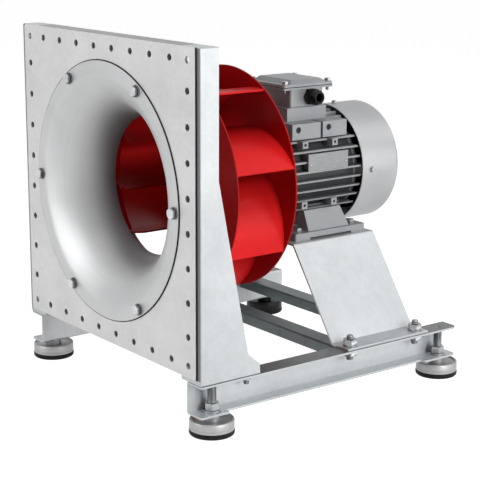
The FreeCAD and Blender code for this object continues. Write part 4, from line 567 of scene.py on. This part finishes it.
nozzle_low, nozzle_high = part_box("inlet_nozzle")
nozzle_rim = nozzle_high.x / millimetre
nozzle_face = nozzle_low.y / millimetre
nozzle_end = nozzle_high.y / millimetre
nozzle_sheet = 2
nozzle_rear = nozzle_face + nozzle_sheet
edge_round = 0.5
turn_start = 4
bell_radius = 99
bell_middle_radius = 195
bell_middle_depth = 90
bell_steps = 36
step_growth = 1.4


def bell_rings(radius, first, last):
    """Rings of the bell between two depths, on an arc about its middle. They lie
    closer together at the flange, where the arc is steep."""
    rings = []
    for step in range(bell_steps + 1):
        depth = first + (last - first) * (step / bell_steps) ** step_growth
        reach = math.sqrt(radius ** 2 - (bell_middle_depth - depth) ** 2)
        rings.append((depth, bell_middle_radius - reach))
    return rings


flow_side = bell_rings(bell_radius, nozzle_face, nozzle_end)
rear_side = bell_rings(bell_radius - nozzle_sheet, nozzle_rear, nozzle_end)
flow_start = flow_side[0][1]
rear_start = rear_side[0][1]
nozzle_rings = [(nozzle_face + edge_round, nozzle_rim), (nozzle_face, nozzle_rim - edge_round),
                (nozzle_face, flow_start + turn_start), (nozzle_face + 0.25, flow_start + 0.6)]
nozzle_rings += flow_side[2:] + list(reversed(rear_side[1:]))
nozzle_rings += [(nozzle_rear + 0.2, rear_start + 0.5), (nozzle_rear, rear_start + turn_start),
                 (nozzle_rear, nozzle_rim - edge_round), (nozzle_rear - edge_round, nozzle_rim)]
frame_origin = (0, 0, 0)
nozzle = turned_form("nozzle_bell", nozzle_rings, sides=160, closed=True)
lay(nozzle, frame_origin, toward_motor)
# The bell is painted darker from 18 mm deep to the throat, as shade.
spun_steel = spun_sheet("spun_steel", (0.52, 0.525, 0.53), (0.62, 0.625, 0.63),
                        throat_shade=(0.13, 0.13, 0.135), shade_from=18, shade_to=82)
mount_piece(nozzle, "frame", "galvanised", spun_steel, "inlet_nozzle")


# Nozzle screws: zinc plated M8 hexagon heads with a cone-cut crown on a washer,
# and a nut behind the plate on each.
def solid_seats(node):
    """The middle and half size of each separate solid of a node, in metres and in
    order of place."""
    merged_copy(node, "seat_copy")
    bpy.ops.object.mode_set(mode="EDIT")
    bpy.ops.mesh.select_all(action="SELECT")
    bpy.ops.mesh.separate(type="LOOSE")
    bpy.ops.object.mode_set(mode="OBJECT")
    seats = []
    for part in list(bpy.context.selected_objects):
        corners = [vertex.co for vertex in part.data.vertices]
        low = Vector([min(corner[axis] for corner in corners) for axis in range(3)])
        high = Vector([max(corner[axis] for corner in corners) for axis in range(3)])
        seats.append(((low + high) / 2, (high - low) / 2))
        bpy.data.objects.remove(part)
    return sorted(seats, key=lambda seat: tuple(round(value, 4) for value in seat[0]))


def hexagon_form(name, across, height, bore=0.0, both_crowns=False):
    """A hexagon from the origin up, its corners cut by a cone at the top or at
    both ends, with an optional hole of a radius in millimetres."""
    corner = across / math.sqrt(3)
    cone_fall = 0.62
    crown_share = 0.95
    deselect()
    bpy.ops.mesh.primitive_cylinder_add(vertices=6, radius=corner * millimetre,
                                        depth=height * millimetre,
                                        location=(0, 0, height / 2 * millimetre))
    prism = bpy.context.active_object
    prism.name = name
    settle()
    fall = (corner - across / 2) * cone_fall
    crown = across / 2 * crown_share
    past_corner = corner + 0.02
    past_end = 0.001
    limit = [(-past_end, crown), (fall, past_corner)] if both_crowns else [(-0.5, corner + 1)]
    limit += [(height - fall, past_corner), (height + past_end, crown)]
    cone = turned_form(name + "_limit", limit, sides=48)
    shape_with(prism, "BOOLEAN", operation="INTERSECT", solver="EXACT", object=cone)
    bpy.data.objects.remove(cone)
    if bore:
        drill = turned_form(name + "_drill", [(-1, bore), (height + 1, bore)], sides=32)
        shape_with(prism, "BOOLEAN", operation="DIFFERENCE", solver="EXACT", object=drill)
        bpy.data.objects.remove(drill)
    shape_with(prism, "BEVEL", width=0.12 * millimetre, segments=1, limit_method="ANGLE",
               angle_limit=math.radians(28), use_clamp_overlap=True)
    even_shading(prism, angle=25)
    return prism


def washer_form(outer, bore, thick):
    """A flat ring with broken edges from the origin up."""
    broken = thick * 0.2
    rings = [(0, bore), (0, outer - broken), (broken, outer), (thick - broken, outer),
             (thick, outer - broken), (thick, bore + broken), (thick - broken, bore)]
    return turned_form("washer_form", rings, sides=40, closed=True)


thread_share = 0.45


def shank_form(radius, length, pitch, chamfer=0.8):
    """A threaded shank below the origin, with a chamfered end. Its thread is cut
    to a fixed share of the pitch."""
    rings = [(-length, radius - chamfer)]
    rings += thread_rings(chamfer - length, 0, radius, pitch, depth=pitch * thread_share)
    return turned_form("shank_form", rings, sides=20)


m8_across = 13
m8_head = 5.3
m8_radius = 4
m8_nut_high = 6.5
thread_gap = 0.15


def m8_screw(name, length):
    """A hexagon screw with its seat at the origin."""
    return one_piece(name, [hexagon_form(name + "_head", m8_across, m8_head),
                            shank_form(m8_radius, length, m8_pitch)])


def m8_nut():
    """A hexagon nut from the origin up, chamfered at both ends."""
    return hexagon_form("m8_nut", m8_across, m8_nut_high, m8_radius + thread_gap, both_crowns=True)


zinc = fine_metal("bright_zinc", (0.28, 0.29, 0.30), (0.44, 0.45, 0.46), rough_low=0.22,
                  rough_high=0.32, metal=0.85)


def fasten(form, name, places, node, finish=zinc, body="frame"):
    """One piece of zinc plated fasteners, which stands for the node."""
    mount_piece(spread(form, name, places), body, "zinc", finish, node)


washer_thick = 1.6
head_seat = nozzle_low.y - washer_thick * millimetre


def on_crown(tree, place):
    """Rises from the foot of the nozzle screw heads to their top. At the foot the heads get painted
    shade.
    """
    depth = node_axis(tree, place, "Y")
    return node_slope(tree, depth, head_seat - 0.5 * millimetre, head_seat - m8_head * millimetre)


# The nozzle screw heads get a lighter copy of the zinc as painted light, with painted shade at their
# foot.
head_zinc_lit = fine_metal("head_zinc_lit", (0.52, 0.53, 0.54), (0.72, 0.73, 0.74), rough_low=0.2,
                       rough_high=0.32, metal=0.7, undarkened=on_crown)
# The washers under the nozzle screws get a darker copy of the zinc, painted shade round the heads.
washer_zinc_shaded = fine_metal("washer_zinc_shaded", (0.13, 0.135, 0.14), (0.22, 0.225, 0.23), rough_low=0.3,
                         rough_high=0.42, metal=0.6)
head_places = []
washer_places = []
nut_places = []
for middle, half in solid_seats("nozzle_nuts"):
    head_places.append(((middle.x, head_seat, middle.z), toward_inlet))
    washer_places.append(((middle.x, nozzle_low.y, middle.z), toward_inlet))
    nut_places.append(((middle.x, middle.y - half.y, middle.z), toward_motor))
fasten(m8_screw("nozzle_screw", length=17), "nozzle_screws", head_places, "nozzle_bolts", head_zinc_lit)
fasten(washer_form(outer=8, bore=4.5, thick=washer_thick), "nozzle_screw_washers",
       washer_places, "nozzle_washers", washer_zinc_shaded)
fasten(m8_nut(), "nozzle_screw_nuts", nut_places, "nozzle_nuts")


# Rails and cross bars: channels folded from 3 mm and 2.5 mm galvanised sheet, the
# cross bars welded between the rail webs. The rails' top faces carry painted shade,
# and the cross bars a darker copy of the zinc, painted shade.
# The top faces of the rails are painted darker, as shade.
rail_zinc_shaded_top = frame_sheet("galvanised_rail", under_top(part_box("rail_right")[1].z), (0.17, 0.18, 0.18))
# The cross bars get a darker copy of the frame zinc, painted shade.
crossbar_zinc_shaded = galvanised_sheet("galvanised_crossbar", (0.115, 0.14, 0.142), (0.19, 0.225, 0.228),
                             flower_mm=15, flower_share=0.09, metal=0.4, rough_low=0.34,
                             rough_high=0.46)
for node, finish in (("rail_left", rail_zinc_shaded_top), ("rail_right", rail_zinc_shaded_top),
                     ("crossbar_front", crossbar_zinc_shaded), ("crossbar_rear", crossbar_zinc_shaded)):
    dress(node, node + "_fold", sheet_rounding, "galvanised", finish)


# Bracket screws: one M8 screw with its nut through each bracket foot, the head on
# the foot and the nut under the rail's top flange.
flange_and_foot = 5.5
bracket_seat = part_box("bracket_nuts")[1].z + flange_and_foot * millimetre
seats = solid_seats("bracket_nuts")
places = [((middle.x, middle.y, bracket_seat), upward) for middle, half in seats]
fasten(m8_screw("bracket_screw", length=18), "bracket_screws", places, "bracket_bolts")


def hanging(seats):
    """Places at the upper ends of the seats, turned downward."""
    return [((middle.x, middle.y, middle.z + half.z), downward) for middle, half in seats]


fasten(m8_nut(), "bracket_screw_nuts", hanging(seats), "bracket_nuts")


# Motor pedestal: one galvanised sheet folded to a flat top for the motor, two
# sloping sides and a flange on each rail.
dress("motor_pedestal", "pedestal_fold", sheet_rounding, "galvanised", galvanised_frame)


# Pedestal studs: M10 studs with a washer and nut on the flange and a nut below
# the rail, all zinc plated.
def stud_form(radius, length, pitch):
    """A threaded stud from the origin up, chamfered at both ends."""
    chamfer = pitch * 0.6
    rings = [(0, radius - chamfer)]
    rings += thread_rings(chamfer, length - chamfer, radius, pitch, depth=pitch * thread_share)
    rings.append((length, radius - chamfer))
    return turned_form("stud_form", rings, sides=24)


def standing(seats):
    """Places at the lower ends of the seats, turned upward."""
    return [((middle.x, middle.y, middle.z - half.z), upward) for middle, half in seats]


def seat_height(seats):
    """The height of the first seat in millimetres."""
    return seats[0][1].z * 2 / millimetre


m10_radius = 5
# The studs get a darker copy of the zinc, painted shade of their thread grooves.
stud_zinc_shaded = fine_metal("stud_zinc_shaded", (0.20, 0.205, 0.21), (0.36, 0.365, 0.37), rough_low=0.28,
                       rough_high=0.4, metal=0.85)
seats = solid_seats("pedestal_studs")
fasten(stud_form(m10_radius, seat_height(seats), pitch=1.5), "pedestal_threads", standing(seats),
       "pedestal_studs", stud_zinc_shaded)
fasten(washer_form(outer=10.5, bore=5.5, thick=2), "pedestal_stud_washers",
       standing(solid_seats("pedestal_washers")), "pedestal_washers")
m10_nut = hexagon_form("m10_nut", across=17, height=8, bore=m10_radius + thread_gap,
                       both_crowns=True)
fasten(m10_nut, "pedestal_stud_nuts", standing(solid_seats("pedestal_nuts")), "pedestal_nuts")


# Feet: a turned aluminium cup with a fine lathe finish over a black rubber pad, and
# an M12 stud with a nut and washer on the rail's bottom flange. One cup is black.
def node_scaled(tree, place, scale):
    """A place scaled along each axis. Where a scale is small, noise is drawn out
    into lines."""
    return add_node(tree, "ShaderNodeMapping", {"Vector": place, "Scale": scale})["Vector"]


def lathe_metal(name, dark, light, ring_mm, bright, coating):
    """Turned metal with fine rings about the upright axes of the pieces, under a
    dark coating where the bright part ends."""
    material, tree, shader, place = begin_finish(name, metal=0.7)
    lines = node_noise(tree, node_scaled(tree, place, (0.02, 0.02, 1)), ring_mm, detail=3.0)
    clouds = node_noise(tree, place, size_mm=25, detail=3.0)
    surface = node_mix(tree, lines, clouds, share=0.4)
    colour = node_colour(tree, surface, dark, light, low=0.3, high=0.7)
    colour = node_shade_and_coat(tree, bright(tree, place), coating, colour)
    end_finish(tree, shader, colour, lines, 0.36, 0.46, lines, depth_mm=0.03, strength=0.5)
    return material


foot_places = [Vector((middle.x, middle.y, 0)) for middle, half in solid_seats("foot_pads")]
feet_middle = sum(foot_places, Vector()) / len(foot_places)
upright_places = [(place, upward) for place in foot_places]


def bright_feet(tree, place):
    """One on the three bright cups, nothing on the black one at the rear left."""
    margin = 10 * millimetre
    right = node_slope(tree, node_axis(tree, place, "X"),
                       feet_middle.x - margin, feet_middle.x + margin)
    front = node_slope(tree, node_axis(tree, place, "Y"),
                       feet_middle.y + margin, feet_middle.y - margin)
    return node_larger(tree, right, front)


cup_radius = 29.5
cup_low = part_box("foot_cups")[0].z / millimetre
cup_top = cup_low + 14
cup_inside = cup_radius - 3
cup_roof = cup_top - 6
cup_edge = 0.5
groove_middle = cup_low + 3.6
groove_deep = 0.4
neck_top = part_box("foot_cups")[1].z / millimetre
stud_hole = 6.3
cup_rings = [(cup_low, cup_inside), (cup_low, cup_radius - cup_edge),
             (cup_low + cup_edge, cup_radius)]
cup_rings += [(groove_middle - groove_deep, cup_radius), (groove_middle, cup_radius - groove_deep),
              (groove_middle + groove_deep, cup_radius)]
cup_rings += [(cup_top - 1.4, cup_radius), (cup_top - 0.6, cup_radius - 0.4),
              (cup_top - 0.1, cup_radius - 1.2), (cup_top, cup_radius - 1.9),
              (cup_top - 0.5, cup_radius - 2.6), (cup_top - 2.4, cup_radius - 3.2),
              (cup_top - 2.9, cup_radius - 4.2)]
cup_rings += [(cup_top - 3, 13), (cup_top - 2.2, 11.4), (neck_top - 0.6, 11), (neck_top, 10.4),
              (neck_top, stud_hole), (cup_roof, stud_hole), (cup_roof, cup_inside)]
cups = spread(turned_form("cup_form", cup_rings, sides=72, closed=True), "foot_cup_turnings",
              upright_places)
lathe_aluminium = lathe_metal("lathe_aluminium", (0.29, 0.29, 0.295), (0.45, 0.45, 0.455),
                              ring_mm=0.7, bright=bright_feet, coating=(0.008, 0.008, 0.009))
mount_piece(cups, "frame", "cup_metal", lathe_aluminium, "foot_cups")


def dark_mould(name, dark, light, rough_low, rough_high, grain_mm, depth_mm):
    """Black rubber or moulded plastic with a fine matt grain."""
    return fine_metal(name, dark, light, rough_low, rough_high, grain_mm, depth_mm, metal=0.0,
                      specular=0.16)


pad_low = cad_low.z / millimetre
pad_rings = [(pad_low, 27), (pad_low + 0.3, 28.4), (pad_low + 1.2, 29.4), (pad_low + 2.4, 29.9),
             (pad_low + 4.6, 30), (cup_low - 0.6, 29.8), (cup_low, 29.2), (cup_low, cup_inside),
             (cup_roof, cup_inside - 0.1)]
black_rubber = dark_mould("black_rubber", (0.004, 0.004, 0.0045), (0.010, 0.010, 0.011),
                          rough_low=0.5, rough_high=0.7, grain_mm=0.9, depth_mm=0.05)
rubber = spread(turned_form("pad_form", pad_rings, sides=72), "foot_rubber", upright_places)
mount_piece(rubber, "frame", "rubber", black_rubber, "foot_pads")

m12_radius = 6
seats = solid_seats("foot_studs")
fasten(stud_form(m12_radius, seat_height(seats), pitch=1.75), "foot_threads", standing(seats),
       "foot_studs", stud_zinc_shaded)
m12_nut = hexagon_form("m12_nut", across=18, height=10, bore=m12_radius + thread_gap,
                       both_crowns=True)
fasten(m12_nut, "foot_stud_nuts", standing(solid_seats("foot_nuts")), "foot_nuts")
fasten(washer_form(outer=12, bore=6.5, thick=2.5), "foot_stud_washers",
       standing(solid_seats("foot_washers")), "foot_washers")


# Painted shadow: a black bead along each upright edge of the inlet plate, laid on the
# bracket fold that shows beside it, and a black ring round the edge of the nozzle
# flange, both standing for the shadow lines at these edges.
bead_wide = 1.5 * millimetre
bead_deep = plate_high.y - plate_low.y - 0.6 * millimetre
bead_high = plate_high.z - plate_low.z
beads = []
for side in (-1, 1):
    deselect()
    bpy.ops.mesh.primitive_cube_add(size=1, location=(
        side * (plate_high.x + bead_wide / 2), plate_high.y - bead_deep / 2,
        (plate_low.z + plate_high.z) / 2))
    bead = bpy.context.active_object
    bead.scale = bead_wide, bead_deep, bead_high
    settle()
    shape_with(bead, "BEVEL", width=0.5 * millimetre, segments=3, limit_method="ANGLE")
    smooth(bead, angle=60)
    beads.append(bead)
mount_piece(one_piece("edge_shadow_bead", beads), "frame", "rubber", black_rubber)
bead_rings = [(nozzle_rear, nozzle_rim), (nozzle_rear, nozzle_rim + 1.4),
              (nozzle_face + 1.2, nozzle_rim + 1.3), (nozzle_face + 0.6, nozzle_rim + 0.8),
              (nozzle_face + 0.5, nozzle_rim)]
ring_bead = turned_form("flange_shadow_ring", bead_rings, sides=160, closed=True)
lay(ring_bead, frame_origin, toward_motor)
mount_piece(ring_bead, "frame", "rubber", black_rubber)


# Motor housing, feet and end shields: die-cast, shot-blasted and painted silver-grey,
# so the edges are soft and the skin is slightly rough. Painted shade darkens the
# housing between the fins.
def cast_paint(name, dark, light, metal, rough, grain_mm, depth_mm, fin_foot=0, fin_edge=0):
    """Silver-grey paint: fine grain and soft clouds. Between two radii about the
    fan axis, in millimetres, painted shade at the foot of the fins gives way to
    the plain paint at their edges."""
    material, tree, shader, place = begin_finish(name, metal, specular=0.2)
    grain = node_noise(tree, place, grain_mm, detail=3.0)
    clouds = node_noise(tree, place, size_mm=45, detail=4.0)
    surface = node_mix(tree, clouds, grain, share=0.4)
    colour = node_colour(tree, surface, dark, light, low=0.32, high=0.68)
    if fin_edge:
        undarkened = node_slope(tree, axis_radius(tree, place), fin_foot * millimetre,
                           fin_edge * millimetre)
        # Painted shade between the fins.
        colour = node_shade_and_coat(tree, undarkened, (0.05, 0.053, 0.055), colour)
    end_finish(tree, shader, colour, surface, rough - 0.05, rough + 0.05, grain,
               depth_mm, strength=0.6)
    return material


cast_dark = (0.27, 0.28, 0.29)
cast_light = (0.35, 0.36, 0.37)
casting = cast_paint("silver_grey_casting", cast_dark, cast_light, metal=0.25, rough=0.40,
                     grain_mm=1.3, depth_mm=0.12)
finned_casting = cast_paint("silver_grey_fins", cast_dark, cast_light, metal=0.25, rough=0.40,
                            grain_mm=1.3, depth_mm=0.12, fin_foot=68, fin_edge=83)
cast_rounding = 0.6
for node, finish in (("motor_housing", finned_casting), ("motor_foot_left", casting),
                     ("motor_foot_right", casting), ("end_shield_front", casting),
                     ("end_shield_rear", casting)):
    dress(node, node + "_cast", cast_rounding, "motor_paint", finish)


# Motor foot screws: zinc plated M8 screws with their hexagon heads on the motor
# feet, each with a nut under the top of the pedestal.
foot_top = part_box("motor_foot_bolts")[1].z - m8_head * millimetre
seats = solid_seats("motor_foot_nuts")
places = [((middle.x, middle.y, foot_top), upward) for middle, half in seats]
fasten(m8_screw("motor_foot_screw", length=23), "motor_foot_screws", places, "motor_foot_bolts")
fasten(m8_nut(), "motor_foot_screw_nuts", hanging(seats), "motor_foot_nuts")


# Shield screws: zinc plated, their round heads with a hexagon socket spread
# round the front shield, which they hold on the housing.
def socket_head(radius, height, socket_across, socket_deep):
    """A round head from the origin up, its edge broken, with a hexagon socket."""
    rings = [(0, radius - 0.1), (0.1, radius), (height - 0.5, radius),
             (height - 0.1, radius - 0.3), (height, radius - 0.7)]
    head = turned_form("socket_head", rings, sides=32)
    bpy.ops.mesh.primitive_cylinder_add(vertices=6, depth=2 * socket_deep * millimetre,
                                        radius=socket_across / math.sqrt(3) * millimetre,
                                        location=(0, 0, height * millimetre))
    socket = bpy.context.active_object
    shape_with(head, "BOOLEAN", operation="DIFFERENCE", solver="EXACT", object=socket)
    bpy.data.objects.remove(socket)
    smooth(head, angle=32)
    return head


shield_head = 5
screw = one_piece("shield_screw", [
    socket_head(radius=4.2, height=shield_head, socket_across=4, socket_deep=2.6),
    shank_form(radius=2.5, length=17, pitch=0.8, chamfer=0.5)])
places = [((middle.x, middle.y - half.y + shield_head * millimetre, middle.z), toward_inlet)
          for middle, half in solid_seats("shield_bolts")]
fasten(screw, "shield_screws", places, "shield_bolts")


# Fan cowl: deep-drawn from sheet, with a rounded rear edge, an air grille and
# the same paint on a smoother skin. Hexagon screws with a collar hold it.
cowl_paint = cast_paint("silver_grey_sheet", (0.44, 0.45, 0.46), (0.52, 0.53, 0.54), metal=0.3,
                        rough=0.36, grain_mm=0.8, depth_mm=0.03)
dress("fan_cowl", "fan_cowl_drawn", 0.3, "motor_paint", cowl_paint)
collar_thick = 1
collar_radius = 5


def collar_screw(name, across, head, radius, length, pitch, chamfer):
    """A hexagon screw with a thin round collar under its head."""
    collar_rings = [(0, collar_radius - 0.2), (0.2, collar_radius),
                    (collar_thick - 0.3, collar_radius), (collar_thick, collar_radius - 0.4)]
    return one_piece(name, [hexagon_form(name + "_head", across, head),
                            turned_form(name + "_collar", collar_rings, sides=32),
                            shank_form(radius, length, pitch, chamfer)])


screw = collar_screw("cowl_screw", across=7, head=3.8, radius=1.9, length=10, pitch=0.9,
                     chamfer=0.5)
cowl_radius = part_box("fan_cowl")[1].x
places = []
for middle, half in solid_seats("cowl_screws"):
    if abs(middle.x) > abs(middle.z):
        turn = toward_right if middle.x > 0 else toward_left
        places.append(((math.copysign(cowl_radius, middle.x), middle.y, middle.z), turn))
    else:
        places.append(((middle.x, middle.y, cowl_radius), upward))
fasten(screw, "cowl_hexagon_screws", places, "cowl_screws")


# Cooling fan: one black moulding with straight vanes, on the rear end of the
# shaft and inside the cowl.
black_moulding = dark_mould("black_moulding", (0.003, 0.003, 0.0035), (0.008, 0.008, 0.009),
                            rough_low=0.24, rough_high=0.36, grain_mm=0.7, depth_mm=0.02)
dress("cooling_fan", "cooling_fan_moulding", 0.3, "moulding", black_moulding, body="rotor")


# Terminal box: a painted casting with a flat flange, a thin rubber gasket and a
# lid raised in the middle. Its four hexagon screws reach through the flange.
for node, rounding in (("terminal_box", 0.7), ("terminal_lid", 0.9)):
    dress(node, node + "_cast", rounding, "motor_paint", casting, segments=3)
dress("lid_gasket", "lid_gasket_cut", 0.15, "rubber", black_rubber)
lid_head = 4.5
screw = collar_screw("lid_screw", across=8, head=lid_head, radius=2.5, length=13, pitch=0.8,
                     chamfer=0.6)
places = [((middle.x, middle.y, middle.z + half.z - lid_head * millimetre), upward)
          for middle, half in solid_seats("lid_screws")]
fasten(screw, "lid_hexagon_screws", places, "lid_screws")


# Cable gland: a hexagon body in the box wall and a domed nut with flat ribs
# round it, both moulded in black, with a rubber ring in the cable opening.
nut_low, nut_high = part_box("gland_nut")
gland_middle = (nut_low + nut_high) / 2
gland_hexagon_high = 7
gland_across = 12.5 * math.sqrt(3)
cable_bore = 6.5
tube_outer = 7.9
tube_step = 9.2
tube_top = 9.6
hexagon = hexagon_form("gland_hexagon", gland_across, gland_hexagon_high, cable_bore,
                       both_crowns=True)
tube_rings = [(-7, cable_bore), (-7, tube_outer - 0.3), (-6.6, tube_outer), (0.5, tube_outer),
              (0.5, tube_step), (6.5, tube_step), (6.5, tube_top), (13, tube_top),
              (13, cable_bore)]
tube = turned_form("gland_tube", tube_rings, sides=40, closed=True)
body_piece = one_piece("gland_body_moulding", [hexagon, tube])
wall_x = nut_low.x - gland_hexagon_high * millimetre
lay(body_piece, (wall_x, gland_middle.y, gland_middle.z), toward_right)
mount_piece(body_piece, "frame", "moulding", black_moulding, "gland_body")

nut_long = 15
nut_radius = 11
nut_inside = 9.8
dome_start = 9.2
dome_high = nut_long - dome_start
dome_wide = 2.2
dome_rim = 8.3
nut_rings = [(0, nut_inside), (0, nut_radius - 0.3), (0.3, nut_radius), (8.4, nut_radius),
             (dome_start, nut_radius - 0.4)]
nut_rings += [(dome_start + dome_high * math.sin(math.radians(angle)),
               dome_rim + dome_wide * math.cos(math.radians(angle)))
              for angle in (15, 30, 45, 60, 75)]
nut_rings += [(nut_long, 8), (nut_long, cable_bore + 0.4), (nut_long - 0.4, cable_bore),
              (2, cable_bore), (2, nut_inside)]
nut_form = turned_form("gland_dome", nut_rings, sides=48, closed=True)
rib_total = 18
rib_place = Matrix.Translation((11.05 * millimetre, 0, 4.6 * millimetre))
rib_size = Matrix.Diagonal((1.1 * millimetre, 1.5 * millimetre, 7.4 * millimetre, 1))
ribs = []
for number in range(rib_total):
    deselect()
    bpy.ops.mesh.primitive_cube_add(size=1, location=(0, 0, 0))
    rib = bpy.context.active_object
    rib_turn = Matrix.Rotation(2 * math.pi * number / rib_total, 4, "Z")
    rib.matrix_world = rib_turn @ rib_place @ rib_size
    settle()
    shape_with(rib, "BEVEL", width=0.3 * millimetre, segments=2, limit_method="ANGLE")
    ribs.append(rib)
gland_cap = one_piece("gland_cap_moulding", [nut_form] + ribs)
nut_seat = (nut_low.x, gland_middle.y, gland_middle.z)
lay(gland_cap, nut_seat, toward_right)
mount_piece(gland_cap, "frame", "moulding", black_moulding, "gland_nut")

seal_bore = 5.9
seal_rings = [(9, cable_bore), (9, seal_bore), (14.2, seal_bore), (14.5, seal_bore + 0.3),
              (14.5, cable_bore)]
seal = turned_form("gland_seal", seal_rings, sides=40, closed=True)
lay(seal, nut_seat, toward_right)
mount_piece(seal, "frame", "rubber", black_rubber)


# Rating plate: a bare sheet of brushed aluminium, held by two rivets on a flat
# pad of the housing.
def brushed_sheet(name, dark, light, line_mm):
    """Bare sheet brushed along its length."""
    material, tree, shader, place = begin_finish(name, metal=1.0)
    lines = node_noise(tree, node_scaled(tree, place, (1, 0.03, 1)), line_mm, detail=4.0)
    colour = node_colour(tree, lines, dark, light, low=0.3, high=0.7)
    end_finish(tree, shader, colour, lines, 0.26, 0.4, lines, depth_mm=0.02, strength=0.4)
    return material


brushed = brushed_sheet("brushed_plate", (0.17, 0.175, 0.18), (0.25, 0.255, 0.26), line_mm=0.5)
dress("nameplate", "bare_rating_plate", 0.15, "bare_plate", brushed)
plate_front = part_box("nameplate")[1].x
rivet_rings = [(0, 1.9), (0.3, 1.85), (0.7, 1.5), (1.0, 1.0), (1.18, 0.4)]
places = [((plate_front, middle.y, middle.z), toward_right)
          for middle, half in solid_seats("nameplate_rivets")]
rivets = spread(turned_form("rivet", rivet_rings, sides=24), "plate_rivets", places)
mount_piece(rivets, "frame", "bare_plate", zinc, "nameplate_rivets")


# Impeller: back plate, spun shroud and eight welded blades under a glossy red
# powder coat with a slight orange skin, carried by the keyed hub. The disc and ring
# get a darker copy of the coat, painted shade; the blades a lighter copy, painted
# light, with painted shade toward the hub.
def glossy_coat(name, dark, light, shade_radius=0, unshaded_radius=0):
    """Powder coat: nearly even colour, a fine wavy skin and a clear gloss. Inside
    the first radius about the fan axis, in millimetres, it is darkened as painted
    shade, which fades out by the second."""
    material, tree, shader, place = begin_finish(name, metal=0.0, specular=0.10)
    shader.inputs["Coat Weight"].default_value = 0.04
    shader.inputs["Coat Roughness"].default_value = 0.12
    clouds = node_noise(tree, place, size_mm=55, detail=4.0)
    skin = node_noise(tree, place, size_mm=2.2, detail=2.0)
    colour = node_colour(tree, clouds, dark, light, low=0.3, high=0.7)
    if unshaded_radius:
        undarkened = node_slope(tree, axis_radius(tree, place),
                           shade_radius * millimetre, unshaded_radius * millimetre)
        # Painted shade toward the hub.
        colour = node_shade_and_coat(tree, undarkened, (0.22, 0.002, 0.003), colour)
    end_finish(tree, shader, colour, clouds, 0.3, 0.4, skin, depth_mm=0.06, strength=0.5)
    return material


# A darker copy for the disc and ring as painted shade, a lighter one for the blades as painted light.
red_coat_shaded = glossy_coat("red_powder_coat_shaded", (0.38, 0.0035, 0.005), (0.44, 0.0045, 0.006))
vane_coat_lit = glossy_coat("red_vane_coat_lit", (0.76, 0.013, 0.015), (0.86, 0.018, 0.02),
                        shade_radius=95, unshaded_radius=142)
for node, name, finish in (("impeller_back_plate", "impeller_disc", red_coat_shaded),
                           ("impeller_shroud", "impeller_ring", red_coat_shaded),
                           ("impeller_blades", "impeller_vanes", vane_coat_lit)):
    dress(node, name, sheet_rounding, "impeller_paint", finish, body="rotor")


# Hub, end washer and screws: a turned iron hub on the shaft end, M6 screws round
# its flange and one M8 screw in the shaft.
turned_iron = fine_metal("turned_iron", (0.20, 0.205, 0.21), (0.30, 0.305, 0.31), rough_low=0.32,
                         rough_high=0.46, grain_mm=1.6, depth_mm=0.03)
dress("impeller_hub", "hub_turning", 0.4, "hub_iron", turned_iron, body="rotor")
m6_head = 4
hub_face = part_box("hub_bolts")[0].y + m6_head * millimetre
screw = one_piece("hub_screw", [hexagon_form("hub_head", across=10, height=m6_head),
                                shank_form(radius=3, length=13, pitch=1, chamfer=0.6)])
places = [((middle.x, hub_face, middle.z), toward_inlet)
          for middle, half in solid_seats("hub_bolts")]
fasten(screw, "hub_screws", places, "hub_bolts", body="rotor")
washer_front, washer_back = [corner.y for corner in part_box("shaft_end_washer")]
washer = washer_form(outer=18, bore=4.5, thick=4)
washer.name = "end_washer"
lay(washer, (0, washer_back, 0), toward_inlet)
mount_piece(washer, "rotor", "zinc", zinc, "shaft_end_washer")
screw = m8_screw("end_screw", length=24)
lay(screw, (0, washer_front, 0), toward_inlet)
mount_piece(screw, "rotor", "zinc", zinc, "shaft_end_bolt")


# Inside the motor the solids stay as they are: ground shaft and bearings,
# stacked sheet cores, varnished windings, rubber seal and moulded block.
machined = fine_metal("machined_steel", (0.42, 0.425, 0.43), (0.55, 0.555, 0.56), rough_low=0.2,
                      rough_high=0.34, grain_mm=1.4)
varnished_wire = fine_metal("varnished_wire", (0.22, 0.07, 0.02), (0.38, 0.14, 0.05),
                            rough_low=0.3, rough_high=0.5, grain_mm=1.1, depth_mm=0.25, metal=0.4)
slot_finishes = {
    "galvanised": galvanised, "zinc": zinc, "cup_metal": lathe_aluminium, "rubber": black_rubber,
    "motor_paint": casting, "core_steel": machined, "winding": varnished_wire,
    "moulding": black_moulding, "bare_plate": brushed, "impeller_paint": red_coat_shaded,
    "hub_iron": turned_iron,
}
for entry in record["subparts"]:
    solid = solids[entry["node"]]
    if not solid.material_slots:
        solid.data.materials.append(None)
    for slot in solid.material_slots:
        slot.material = slot_finishes[entry["material_slot"]]
